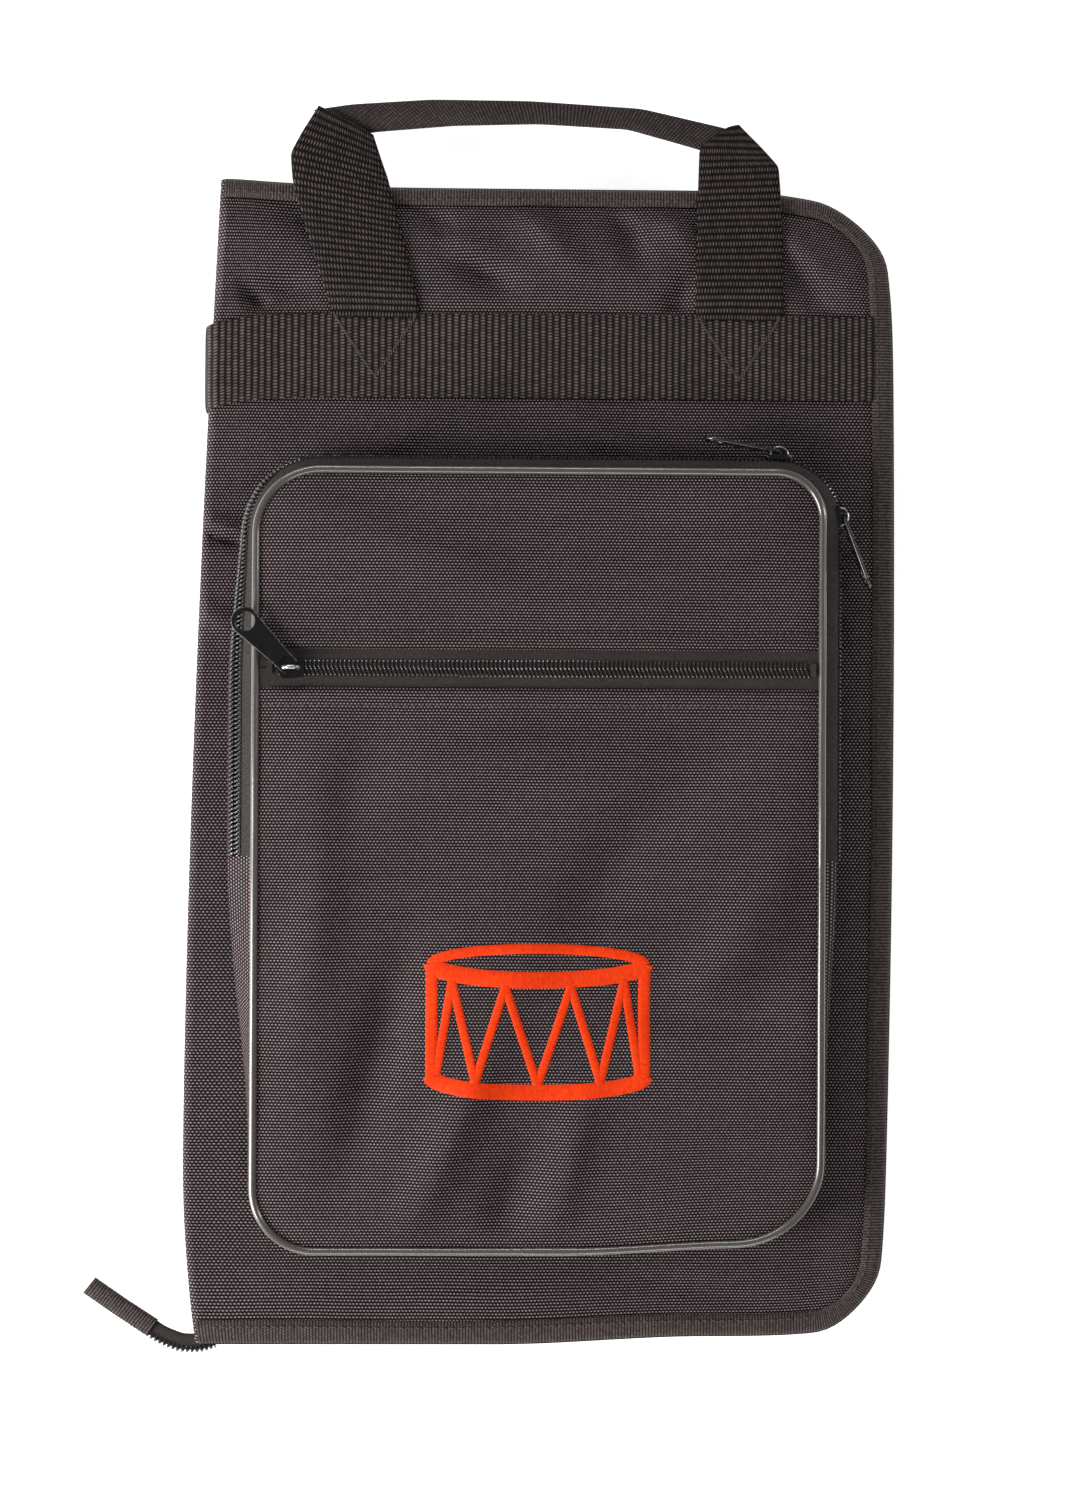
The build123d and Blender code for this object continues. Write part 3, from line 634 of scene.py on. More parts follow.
def binding(name, node, body, face):
    """Half an ellipse over the edge, with a flat run each side: the outer line, then the same line further in."""
    low, high = limits(node)
    middle, half = (low[2] + high[2]) / 2, (high[2] - low[2]) / 2
    turn = np.linspace(np.pi / 2, -np.pi / 2, 13)
    flat = np.array([1.0, 0.9, 0.72, 0.5])
    lift = np.array([-0.75, -0.1, 0.12, 0.05]) * MM
    thick = 0.8 * MM
    rim = 3.2 * MM
    outer_in = np.concatenate([flat * 9 * MM, rim - rim * np.cos(turn), flat[::-1] * 9 * MM])
    outer_up = np.concatenate([half + lift, half * np.sin(turn), -half - lift[::-1]])
    inner_in = np.concatenate([flat * 9 * MM, rim - (rim - thick) * np.cos(turn), flat[::-1] * 9 * MM])
    inner_up = outer_up * (half - thick) / half
    inward = np.concatenate([outer_in, inner_in[::-1]])
    up = middle + np.concatenate([outer_up, inner_up[::-1]])
    stretch = tape_width[:, None] / (9 * MM)
    table = raised(edge_points, edge_out, -inward * stretch, up)
    ripple = 0.12 * MM * np.sin(edge_at / 0.009)[:, None] * (inward / (9 * MM))
    table[..., 2] += ripple
    around = lengths(np.stack([np.append(inward, inward[0]), np.append(up, up[0])], -1))
    tape = carried(name, settle(table), edge_at, around)
    dress(tape, BINDING, body, "binding_tape", node)
    level = high[2] if face > 0 else low[2]
    return level + face * 0.3 * MM


front_level_of_tape = binding("front_cover_binding", "front_binding", "front_cover", 1)
back_level_of_tape = binding("back_cover_binding", "back_binding", "back_cover", -1)


# %% Stitches
def stitch_row(name, line, up, body, pitch=3.6 * MM, long=2.4 * MM, thick=0.4 * MM, tilt=0.0):
    """Short threads along a line of points (n, 3). Each is a spindle: five rings of six points, thin at both
    ends. tilt turns each one sideways, in radians."""
    at = lengths(line)
    places = np.arange(pitch / 2, at[-1], pitch)
    centre = np.stack([np.interp(places, at, line[:, k]) for k in range(3)], -1)
    ahead = np.stack([np.interp(places + 0.2 * MM, at, line[:, k]) for k in range(3)], -1)
    behind = np.stack([np.interp(places - 0.2 * MM, at, line[:, k]) for k in range(3)], -1)
    x = ahead - behind
    x /= np.linalg.norm(x, axis=1)[:, None]
    z = np.broadcast_to(np.array(up, float), x.shape)
    y = np.cross(z, x)
    y /= np.linalg.norm(y, axis=1)[:, None]
    x, y = x * np.cos(tilt) + y * np.sin(tilt), y * np.cos(tilt) - x * np.sin(tilt)
    rings = np.array([-1, -0.7, 0, 0.7, 1]) * long / 2
    fat = np.array([0.35, 0.85, 1, 0.85, 0.35]) * thick
    angle = np.arange(6) * np.pi / 3
    form = np.stack([np.repeat(rings[:, None], 6, 1), fat[:, None] * np.cos(angle), fat[:, None] * np.sin(angle)], -1)
    form = form.reshape(-1, 3)
    i, j = [a.ravel() for a in np.meshgrid(np.arange(4), np.arange(6), indexing="ij")]
    side = np.stack([i * 6 + j, i * 6 + (j + 1) % 6, (i + 1) * 6 + (j + 1) % 6, (i + 1) * 6 + j], -1)
    ends = np.array([[0, 3, 2, 1], [0, 5, 4, 3], [24, 25, 26, 27], [24, 27, 28, 29]])
    quads = np.concatenate([side, ends])
    frames = np.stack([x, y, z], 1)
    points = (centre[:, None] + form @ frames).reshape(-1, 3)
    faces = (quads[None] + 30 * np.arange(len(places))[:, None, None]).reshape(-1, 4)
    uv = np.stack([points[faces][..., 0], points[faces][..., 1]], -1)
    row = mesh_object(name, points, faces, uv, sharp=180)
    dress(row, THREAD, body, "binding_tape")


for name, level, body, up in (("front_binding_stitches", front_level_of_tape, "front_cover", (0, 0, 1)),
                              ("back_binding_stitches", back_level_of_tape, "back_cover", (0, 0, -1))):
    inward = (tape_width - 2.4 * MM)[:, None]
    line = settle(raised(edge_points, edge_out, -inward, level)[:, 0])
    stitch_row(name, line[4:-4], up, body)

# %% [markdown]
# ## The spine and the band
# At the spine the outer cloth simply carries on from one cover to the other, and so does the webbing band. Both
# cross two fold lines, one at each cover. Each is made in two halves, one on each side of the spine's middle.

# %% The cloth of the spine
spine_y = np.linspace(spine_low[1] + 0.5 * MM, spine_high[1] - 0.5 * MM, 120)
SPINE_MIDDLE = (spine_low[2] + spine_high[2]) / 2
half_span = (spine_high[2] - spine_low[2]) / 2 + 2.5 * MM


def spine_bulge(z):
    """How far the folded cloth stands out: a half wave of the level."""
    return 1.2 * MM * np.cos(np.clip((z - SPINE_MIDDLE) / half_span, -1, 1) * np.pi / 2)


for name, cover, sign in (("spine_cloth_front", "front_cover", 1), ("spine_cloth_back", "back_cover", -1)):
    z = SPINE_MIDDLE + sign * np.linspace(-0.3 * MM, half_span, 26)
    y_table, z_table = np.meshgrid(spine_y, z, indexing="ij")
    x_table = LEFT + 0.3 * MM - spine_bulge(z_table)
    outer = settle(np.stack([x_table, y_table, z_table], -1))
    inner = settle(np.stack([x_table + 1.2 * MM, y_table, z_table], -1))
    spine = slab(name, outer, inner, np.stack([z_table, y_table], -1))
    dress(spine, OXFORD, None, "oxford_fabric", "spine_fabric")
    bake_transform(spine)


# %% The webbing band
def ribbon(name, line, across, width, thick, **shape):
    """A strap along a line: at each point the profile lies across the given direction and the normal."""
    ahead = np.gradient(line, axis=0)
    ahead /= np.linalg.norm(ahead, axis=1)[:, None]
    up = np.cross(ahead, across)
    up /= np.linalg.norm(up, axis=1)[:, None]
    side, rise, around = strap_profile(width, thick, **shape)
    table = line[:, None] + across[:, None] * side[:, None] + up[:, None] * rise[:, None]
    return carried(name, table, lengths(line), around)


BAND_THICK = band_high[2] - band_low[2]
band_y = (band_low[1] + band_high[1]) / 2
band_width = band_high[1] - band_low[1]
bend = np.radians(np.linspace(0, 90, 12))
for name, node, body, face, sign in (("front_band_webbing", "front_band", "front_cover", FRONT, 1),
                                     ("back_band_webbing", "back_band", "back_cover", 0.0, -1)):
    seat = face + sign * BAND_THICK / 2 if sign > 0 else BAND_THICK / 2
    radius = ROLL + BAND_THICK / 2
    flat_x = np.linspace(band_high[0], LEFT + ROLL, 160)
    x = np.concatenate([flat_x, LEFT + ROLL - radius * np.sin(bend[1:]), np.full(4, LEFT - BAND_THICK / 2)])
    drop = np.concatenate([np.zeros(160), radius * (1 - np.cos(bend[1:])), radius + np.linspace(0.6, 2.2, 4) * MM])
    dip = 5.4 * MM * np.exp(-np.clip(x - LEFT, 0, 1) / (20 * MM))
    line = np.stack([x, band_y - dip, seat - sign * drop], -1)
    ripple = 0.18 * MM * np.sin(x / 0.011) * np.sin(x / 0.027)
    line[:, 2] += sign * ripple * ease((x - LEFT) / 0.01)
    across = np.broadcast_to(np.array([0.0, 1.0, 0.0]), line.shape)
    strap = ribbon(name, settle(line), across, band_width, BAND_THICK)
    dress(strap, WEBBING, body, "webbing", node)
    z = SPINE_MIDDLE + sign * np.linspace(-0.3 * MM, abs(line[-1, 2] - SPINE_MIDDLE) + 1 * MM, 22)
    side_line = np.stack([LEFT - BAND_THICK / 2 - 0.3 * MM - spine_bulge(z), np.full_like(z, band_y - dip[-1]), z], -1)
    wrap = ribbon(f"spine_band_{body}", settle(side_line), across[:len(z)], band_width, BAND_THICK)
    dress(wrap, WEBBING, None, "webbing", "spine_band")
    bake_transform(wrap)

# %% The V of stitches at each foot of the handle
for side, centre in (("left", -73.2 * MM), ("right", 82.2 * MM)):
    turns = np.array([[-17.0, 35.4], [-16.0, 33.0], [-1.2, 10.6], [0.0, 9.4], [1.2, 10.6], [16.0, 33.0], [17.0, 35.4]])
    line = np.zeros((7, 3))
    line[:, 0] = centre + turns[:, 0] * MM
    line[:, 1] = band_low[1] + (turns[:, 1] - 0.4) * MM
    line[:, 2] = FRONT + BAND_THICK + 0.1 * MM
    stitch_row(f"{side}_bar_stitches", line, (0, 0, 1), "front_cover", pitch=1.7 * MM, long=2.6 * MM,
               thick=0.34 * MM, tilt=0.5)

# %% [markdown]
# ## The zip round the covers
# A coil zip is two tapes, each with a nylon wire wound into a flat helix along its edge. The wire is what makes
# a zip look like a zip, so it is really wound here, turn by turn, with few points in each turn.

# %% Winding a coil
def coil(name, line, wide, normal, body, *nodes, pitch=2.0 * MM, half_width=1.5 * MM, half_thick=0.9 * MM,
         wire=0.42 * MM, lean=0.25, hand=1, joined=None):
    """A wire wound along a line: line + wide a cos(q) + normal b sin(q), with q growing by 2 pi each pitch, and
    each loop leaning along the line by a fraction of its width. The wire is a six-sided tube."""
    at = lengths(line)
    turns = int(at[-1] / pitch)
    q = np.linspace(0, 2 * np.pi * turns, 10 * turns)
    where = np.linspace(0, at[-1], len(q))
    centre, w, n = (np.stack([np.interp(where, at, v[:, k]) for k in range(3)], -1) for v in (line, wide, normal))
    ahead = np.gradient(centre, axis=0)
    ahead /= np.linalg.norm(ahead, axis=1)[:, None]
    c, s = np.cos(q)[:, None], hand * np.sin(q)[:, None]
    path = centre + w * half_width * c + n * half_thick * s + ahead * lean * half_width * c
    along = np.gradient(path, axis=0)
    along /= np.linalg.norm(along, axis=1)[:, None]
    outward = w * c * half_thick + n * s * half_width
    side = np.cross(along, outward)
    side /= np.linalg.norm(side, axis=1)[:, None]
    out = np.cross(side, along)
    angle = np.arange(6) * np.pi / 3
    ring = side[:, None] * np.cos(angle)[:, None] + out[:, None] * np.sin(angle)[:, None]
    table = path[:, None] + wire * ring
    piece = carried(name, table, lengths(path), np.arange(7) * wire)
    dress(piece, NYLON, body, "zip_coil", *nodes)
    return piece


# %% Both halves of the covers' zip
past = edge_points[:, 0] > limits("back_zip_tape")[0][0]
past |= np.abs(edge_points[:, 1]) < HALF - 20 * MM
zip_points, zip_out = edge_points[past], edge_out[past]
zip_at = lengths(zip_points)
up_out = np.concatenate([zip_out, np.zeros((len(zip_out), 1))], -1)
flat_up = np.broadcast_to(np.array([0.0, 0.0, 1.0]), up_out.shape)
for name, body, sign in (("front", "front_cover", 1), ("back", "back_cover", -1)):
    tape, wound = limits(f"{name}_zip_tape"), limits(f"{name}_zip_coil")
    z = np.linspace(tape[1][2], tape[0][2], 9) if sign > 0 else np.linspace(tape[0][2], tape[1][2], 9)
    inset = np.linspace(6.9, 5.4, 9) * MM
    offsets = np.concatenate([-inset, -(inset[::-1] + 0.8 * MM)])
    table = raised(zip_points, zip_out, np.broadcast_to(offsets, (len(zip_points), 18)), np.append(z, z[::-1]))
    down = np.abs(z - z[0])
    strip = carried(f"{name}_zip_strip", settle(table), zip_at, np.concatenate([down, down[::-1], down[:1]]))
    dress(strip, ZIP_TAPE, body, "zip_tape", f"{name}_zip_tape")
    middle = (wound[0][2] + wound[1][2]) / 2 - sign * 0.25 * MM
    line = settle(raised(zip_points, zip_out, np.full((len(zip_points), 1), -5.4 * MM), middle)[:, 0])
    coil(f"{name}_zip_wire", line, flat_up, up_out, body, f"{name}_zip_coil", pitch=2.3 * MM,
         half_width=1.3 * MM, hand=sign)

# %% [markdown]
# ## The pocket
# The pocket is a shallow box of cloth. Its face is held by a cord of shiny piping, and its wall slopes out to
# the cover: upright on the right and at the foot, and leaning well out on the left, where the zip looks up.
# Above the fold line the wall has, from the piping down: tape, two rows of coil, tape, and the gusset's cloth.

# %% The piping's line, starting at the right end of the fold
pipe_low, pipe_high = np.array([-122, -205.5]) * MM, np.array([116, 122]) * MM
PIPE_RADII = np.array([36, 20, 27, 26]) * MM
PIPE_LEVEL = 55.75 * MM
FOLD = limits("pocket_gusset")[0][1]
pipe_points, pipe_out = rounded_loop(pipe_low, pipe_high, PIPE_RADII)


def foot_rise(x, y):
    """How far the pocket's foot rises towards the right: the product of two soft steps, up to 3.4 mm."""
    return 3.4 * MM * ease((x - 5 * MM) / (85 * MM)) * ease((-0.14 - y) / 0.06)


pipe_points[:, 1] += foot_rise(*pipe_points.T)
first = np.argmin(np.abs(pipe_points[:, 1] - FOLD) + (pipe_points[:, 0] < 0))
pipe_points, pipe_out = np.roll(pipe_points, -first, axis=0), np.roll(pipe_out, -first, axis=0)
last = np.argmin(np.abs(pipe_points[:, 1] - FOLD) + (pipe_points[:, 0] > 0))
above = np.arange(0, last + 1)
below = np.append(np.arange(last, len(pipe_points)), 0)


# %% The wall's slope
def wall(rows, t, depth=0.0):
    """Points of the pocket's wall. t runs from 0 at the piping to 1 at the cover, and depth is measured into
    the pocket. The reach outwards is a mix of four sides' reaches, by the outward direction squared."""
    points, out = pipe_points[rows], pipe_out[rows]
    right, top, left, foot = side_weights(out)
    y = points[:, 1]
    reach = left * (3 + 9.4 * ease((y + 0.165) / 0.124) - 6.6 * ease((y - 0.03) / 0.09))
    reach += right * (3 + 4.4 * ease((y + 0.143) / 0.102)) + top * 5.4 + foot * 2.6
    bend = left * 0.58 + (1 - left) * 0.25
    q = np.clip(t / bend[:, None], 0, 1)
    shape = left[:, None] * q + (1 - left)[:, None] * np.sin(q * np.pi / 2)
    off = 1.6 + (reach - 1.6)[:, None] * shape
    level = (54.6 - 19.8 * t) * MM
    lean = left[:, None] * ease(1 - q) * 0.7
    return raised(points, out, off * MM - depth * (1 - lean), level - depth * lean)


def wall_strip(name, rows, start, stop, steps=8, thick=0.7 * MM):
    """A strip of the wall between two values of t, with its cloth's thickness behind it."""
    t = np.linspace(start, stop, steps)
    table = np.concatenate([wall(rows, t), wall(rows, t, thick)[:, ::-1]], axis=1)
    run = t * 20 * MM
    return carried(name, table, lengths(pipe_points[rows]), np.concatenate([run, run[::-1], run[:1]]))


def wall_coil(name, rows, t, *nodes, body, hand):
    """A coil along the wall at one value of t, lying in the wall's own slope."""
    line, lower = wall(rows, np.array([t]))[:, 0], wall(rows, np.array([t + 0.02]))[:, 0]
    wide = lower - line
    wide /= np.linalg.norm(wide, axis=1)[:, None]
    ahead = np.gradient(line, axis=0)
    normal = np.cross(ahead, wide)
    normal /= np.linalg.norm(normal, axis=1)[:, None]
    if normal[0, 0] < 0:
        normal = -normal
    return coil(name, line + normal * 0.4 * MM, wide, normal, body, *nodes, pitch=1.87 * MM,
                half_width=1.75 * MM, half_thick=0.75 * MM, wire=0.42 * MM, lean=0.35, hand=hand)


# %% The strips and coils of the wall
dress(wall_strip("flap_tape", above, 0.0, 0.24), ZIP_TAPE, "pocket_flap", "zip_tape", "flap_zip_tape")
dress(wall_strip("gusset_tape", above, 0.50, 0.68), ZIP_TAPE, "front_cover", "zip_tape", "gusset_zip_tape")
dress(wall_strip("gusset_cloth", above, 0.655, 1.0), OXFORD, "front_cover", "oxford_fabric", "pocket_gusset")
dress(wall_strip("lower_wall", below, 0.0, 1.0, 16), OXFORD, "front_cover", "oxford_fabric", "pocket_lower_shell")
wall_coil("flap_wire", above, 0.31, "flap_zip_coil", body="pocket_flap", hand=1)
wall_coil("gusset_wire", above, 0.445, "gusset_zip_coil", body="front_cover", hand=-1)

# %% The piping
angle = np.linspace(0, 2 * np.pi, 15)
r = 1.75 * MM
offsets = np.broadcast_to(r * np.cos(angle[:-1]), (len(pipe_points), 14))
table = raised(pipe_points, pipe_out, offsets, PIPE_LEVEL + r * np.sin(angle[:-1]))
table[..., 2] += 0.25 * MM * np.sin(lengths(pipe_points) / (11 * MM))[:, None]
around_loop = np.append(lengths(pipe_points), lengths(np.append(pipe_points, pipe_points[:1], 0))[-1])
piping = carried("piping", table, around_loop, angle * r, closed=True)
dress(piping, VINYL, None, "piping_vinyl", "flap_piping", "pocket_lower_piping")
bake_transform(piping)

# %% The short sleeve at the foot, where the piping's two ends meet
joined = (np.abs(pipe_points[:, 0] - 2 * MM) < 12 * MM) & (pipe_points[:, 1] < -0.15)
wide = r + 0.2 * MM
offsets = np.broadcast_to(wide * np.cos(angle[:-1]), (joined.sum(), 14))
table = raised(pipe_points[joined], pipe_out[joined], offsets, PIPE_LEVEL + wide * np.sin(angle[:-1]))
sleeve = carried("piping_join", table, lengths(pipe_points[joined]), angle * r)
dress(sleeve, VINYL, "front_cover", "piping_vinyl")


# %% The cloth of the face
def from_piping(x, y):
    """Distance inwards from the piping's line: to the nearest side, or radially in a round corner."""
    middle, half = (pipe_low + pipe_high) / 2, (pipe_high - pipe_low) / 2
    right, top = x > middle[0], y > middle[1]
    radius = np.where(right, np.where(top, PIPE_RADII[1], PIPE_RADII[0]),
                      np.where(top, PIPE_RADII[2], PIPE_RADII[3]))
    dx, dy = np.abs(x - middle[0]) - half[0] + radius, np.abs(y - middle[1]) - half[1] + radius
    return np.where((dx > 0) & (dy > 0), radius - np.hypot(dx, dy), radius - np.maximum(dx, dy))


POCKET_FOLDS = (
    (60, -14, 48, 46, 18, -0.6), (24, -54, 60, 34, 14, -0.8), (84, -72, 55, 36, 14, 1.2),
    (-4, -86, 20, 50, 12, 0.9), (-70, -124, 75, 40, 10, -1.5), (-40, -160, 65, 40, 10, 1.3),
    (-14, -184, 70, 26, 9, -1.0), (10, -170, 75, 26, 8, 0.8), (64, -104, 0, 34, 11, -1.0),
    (-96, -60, 85, 60, 12, 0.8), (-20, 0, 5, 60, 12, 0.8), (-84, -16, 60, 30, 14, -0.7),
    (-60, 90, -20, 50, 12, 0.5), (20, 95, 10, 60, 12, -0.4), (80, 90, 30, 40, 12, 0.5),
)
FACE_LEVEL = 57.4 * MM


def face_level(x, y):
    """The face rises from the piping by 2.2 (1 - exp(-distance / 5)) mm, and carries broad soft folds."""
    d = np.clip(from_piping(x, y), 0, None)
    rise = 2.2 * MM * (1 - np.exp(-d / (5 * MM)))
    calm = 0.3 + 0.7 * ease((np.abs(y - 38.7 * MM) - 8 * MM) / (20 * MM))
    return FACE_LEVEL - 2.2 * MM + rise + 5.0 * wrinkles(x, y, POCKET_FOLDS) * ease(d / (18 * MM)) * calm


def face_tables(low, high, rows, columns=160):
    """x and y over the face between two levels of y, out to 1 mm inside the piping's line."""
    y = np.linspace(low, high, rows)
    near_top, near_foot = PIPE_RADII[[2, 1]], PIPE_RADII[[3, 0]]
    edges = []
    for k, sign in ((0, -1), (1, 1)):
        over_top = np.clip(y - pipe_high[1] + near_top[k], 0, near_top[k] * 0.999)
        over_foot = np.clip(pipe_low[1] + near_foot[k] - y, 0, near_foot[k] * 0.999)
        cut = near_top[k] - np.sqrt(near_top[k] ** 2 - over_top ** 2)
        cut += near_foot[k] - np.sqrt(near_foot[k] ** 2 - over_foot ** 2)
        edges.append((pipe_low[0] if sign < 0 else pipe_high[0]) - sign * (cut + 0.8 * MM))
    s = np.linspace(0, 1, columns)
    s = s - 0.6 * np.sin(2 * np.pi * s) / (2 * np.pi)
    return edges[0][:, None] + (edges[1] - edges[0])[:, None] * s, np.repeat(y[:, None], columns, 1)


SLIT = limits("small_zip_tape")
WINDOW_LOW, WINDOW_HIGH = 30.6 * MM, 46.8 * MM


def face_piece(name, low, high, rows, lip):
    """One panel of the face. lip is the y of its folded edge beside the small zip, where the cloth turns down."""
    x, y = face_tables(low, high, rows)
    edge = np.abs(y - lip) / MM
    level = face_level(x, y) + 0.5 * MM * np.exp(-((edge - 2.2) / 1.6) ** 2) - 1.1 * MM * np.exp(-edge / 0.7)
    level -= 0.45 * MM * np.exp(-((edge - 7.6) / 1.0) ** 2)
    top = np.stack([x, y + foot_rise(x, y), level], -1)
    return slab(name, top, top - np.array([0, 0, 1.2 * MM]), np.stack([x, y], -1))


upper = face_piece("pocket_upper_cloth", WINDOW_HIGH, pipe_high[1] - 0.8 * MM, 64, WINDOW_HIGH)
dress(upper, OXFORD, "pocket_flap", "oxford_fabric", "flap_upper_face")
lower = face_piece("pocket_lower_cloth", pipe_low[1] + 0.8 * MM, WINDOW_LOW, 190, WINDOW_LOW)
dress(lower, OXFORD, None, "oxford_fabric", "flap_lower_face")
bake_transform(lower)
for name, level in (("upper_hem_stitches", WINDOW_HIGH + 7.6 * MM), ("lower_hem_stitches", WINDOW_LOW - 7.6 * MM)):
    x = np.linspace(pipe_low[0] + 2 * MM, pipe_high[0] - 2 * MM, 200)
    line = np.stack([x, np.full_like(x, level), face_level(x, np.full_like(x, level)) - 0.3 * MM], -1)
    stitch_row(name, line, (0, 0, 1), "pocket_flap", pitch=3.3 * MM, long=2.3 * MM, thick=0.26 * MM)

# %% The small zip across the face
slit_y = (SLIT[0][1] + SLIT[1][1]) / 2
slit_x = np.linspace(pipe_low[0] + 1 * MM, pipe_high[0] - 1 * MM, 120)
for name, sign in (("lower", -1), ("upper", 1)):
    across = np.linspace(0.2, 8.4, 10) * MM
    x, run = np.meshgrid(slit_x, across, indexing="ij")
    y = slit_y + sign * run
    level = SLIT[1][2] - 0.15 * MM - 0.5 * MM * ease(run / (8 * MM)) + 0.12 * MM * np.sin(x / 0.012)
    top = np.stack([x, y, level], -1)
    half_tape = slab(f"small_zip_{name}_strip", top, top - np.array([0, 0, 0.6 * MM]), np.stack([x, y], -1))
    dress(half_tape, ZIP_TAPE, "pocket_flap", "zip_tape", "small_zip_tape")
    wound = limits("small_zip_coils")
    x = np.linspace(wound[0][0], wound[1][0], 120)
    line = np.stack([x, np.full_like(x, slit_y + sign * 1.65 * MM), np.full_like(x, 56.2 * MM)], -1)
    line[:, 2] += 0.12 * MM * np.sin(x / 0.012)
    wide, normal = np.zeros_like(line), np.zeros_like(line)
    wide[:, 1], normal[:, 2] = sign, 1.0
    coil(f"small_zip_{name}_wire", line, wide, normal, "pocket_flap", "small_zip_coils", pitch=1.8 * MM,
         half_width=1.6 * MM, half_thick=0.75 * MM, hand=sign)

# %% The small pocket's bag behind the flap
bag_low, bag_high = limits("small_pocket_lining")
u, v = np.meshgrid(np.linspace(0, 1, 60), np.linspace(0, 1, 60), indexing="ij")
x = bag_low[0] + (bag_high[0] - bag_low[0]) * u
y = FOLD + 12 * MM + (bag_high[1] - FOLD - 12 * MM) * v
swell = (16 * u * (1 - u) * v * (1 - v)) ** 0.35
top = np.stack([x, y, np.full_like(x, 52.9 * MM)], -1)
under = np.stack([x, y, 52.3 * MM - 1.8 * MM * swell + 0.3 * MM * np.sin(x / 0.017) * np.sin(y / 0.013)], -1)
pouch = slab("small_pocket_bag", top, under, np.stack([x, y], -1))
dress(pouch, LINING, "pocket_flap", "lining_fabric", "small_pocket_lining")

# %% [markdown]
# ## The handle
# The handle is the same webbing as the band. Each leg leaves the band square, leans over, and folds under at
# the top, where the grip starts: the grip is the strap folded along its length, so it is narrow and thick.
# Each leg is described by its two edges, because its width changes where it folds.

# %% A strip between two edges
def even_line(points, count, smooth=4):
    """A line of equal steps through a few points, with its corners eased by averaging neighbours."""
    points = np.array(points, float)
    at = lengths(points)
    where = np.linspace(0, at[-1], count)
    line = np.stack([np.interp(where, at, points[:, k]) for k in range(points.shape[1])], -1)
    for _ in range(smooth):
        line[1:-1] = (line[:-2] + 2 * line[1:-1] + line[2:]) / 4
    return line


def edge_strip(name, low_edge, high_edge, level, thick, camber=0.0, uv_width=38 * MM, columns=15):
    """A strap whose cross-section runs from one edge to the other, with a superellipse's rounded rims and a
    parabolic camber. low_edge and high_edge are tables (rows, 2), and level is the height of its middle."""
    side, rise, around = strap_profile(2.0, thick, columns)
    part = side / 2 + 0.5
    flat = low_edge[:, None] + (high_edge - low_edge)[:, None] * part[:, None]
    lift = level[:, None] + rise + camber * (1 - side ** 2)
    table = np.concatenate([flat, lift[..., None]], -1)
    middle = np.concatenate([(low_edge + high_edge) / 2, level[:, None]], -1)
    return carried(name, table, lengths(middle), around * uv_width / 2)


# %% Both legs and the grip
LEGS = {
    "left": ([(-54.2, 188.8), (-54.2, 193), (-59.5, 214), (-64.5, 233), (-68, 247.4), (-71.5, 257.5), (-74.4, 266.5)],
             [(-92.2, 188.8), (-92.2, 193), (-98.5, 212), (-104.6, 231), (-108.8, 247.4), (-109.6, 258.4),
              (-104.5, 268), (-97.8, 278.8)]),
    "right": ([(101.2, 188.8), (101.2, 194), (100.4, 218), (99.5, 242), (98.6, 254.6), (91, 263), (81.6, 272.4)],
              [(63.3, 188.8), (63.3, 194), (63.6, 218), (64.0, 242), (64.6, 262), (71, 267.2), (76.5, 271.2)]),
}
for side, (inner, outer) in LEGS.items():
    low_edge, high_edge = even_line(inner, 90) * MM, even_line(outer, 90) * MM
    y = (low_edge[:, 1] + high_edge[:, 1]) / 2
    level = 34.9 * MM + 2.3 * MM * ease((y - 0.190) / 0.012) + 0.9 * MM * between(y, 0.195, 0.268)
    leg = edge_strip(f"handle_{side}_strap", low_edge, high_edge, level, 1.8 * MM, camber=0.5 * MM)
    dress(leg, SHADED_HANDLE_WEBBING, None, "webbing", f"handle_{side}_leg")
    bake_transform(leg)

upper_edge = even_line([(-100, 277.6), (-84, 280), (-50, 282.2), (-8, 281.9), (40, 279.2), (80, 270.5), (84, 268)], 120)
lower_edge = even_line([(-84, 266.6), (-74, 268.4), (-40, 271.3), (-4, 272.3), (34, 270.5), (66, 262), (72, 259.6)],
                       120)
u = np.linspace(0, 1, 120)
level = 33.9 * MM + 1.4 * MM * between(u, 0.02, 0.98)
grip = edge_strip("handle_grip_strap", lower_edge * MM, upper_edge * MM, level, 4.4 * MM, camber=0.4 * MM,
                  uv_width=13 * MM)
dress(grip, GRIP, "handle", "webbing", "handle_grip")

# %% [markdown]
# ## The zip's tail
# Where the zip starts, its tape runs on past the cover. It is folded along its length, with the coil at its
# edge, and ends in a tab of binding tape.

# %% The folded tape, its coil and the tab
tail_route = even_line([(-141, -248.6), (-147, -250.6), (-155, -250.4), (-163, -247.2), (-174, -240.0)], 40) * MM
tail_line = np.concatenate([tail_route, np.full((40, 1), 16 * MM)], -1)
ahead = np.gradient(tail_route, axis=0)
ahead /= np.linalg.norm(ahead, axis=1)[:, None]
across = np.stack([-ahead[:, 1], ahead[:, 0], np.zeros(40)], -1)
tail = ribbon("zip_tail_tape", tail_line, across, 7.0 * MM, 2.6 * MM, power=3)
dress(tail, ZIP_TAPE, "tail", "zip_tape", "zip_tail")
coil("zip_tail_wire", tail_line + across * 2.9 * MM + np.array([0, 0, 1.2 * MM]), across,
     np.broadcast_to(np.array([0.0, 0.0, 1.0]), across.shape), "tail", pitch=2.0 * MM, half_width=1.3 * MM,
     half_thick=0.7 * MM)
tab_route = even_line([(-167.5, -244.4), (-181, -235.6), (-194.6, -226.2)], 24, 0) * MM
tab_line = np.concatenate([tab_route, np.full((24, 1), 16 * MM)], -1)
tab_across = np.broadcast_to(np.array([0.62, 0.785, 0.0]), (24, 3))
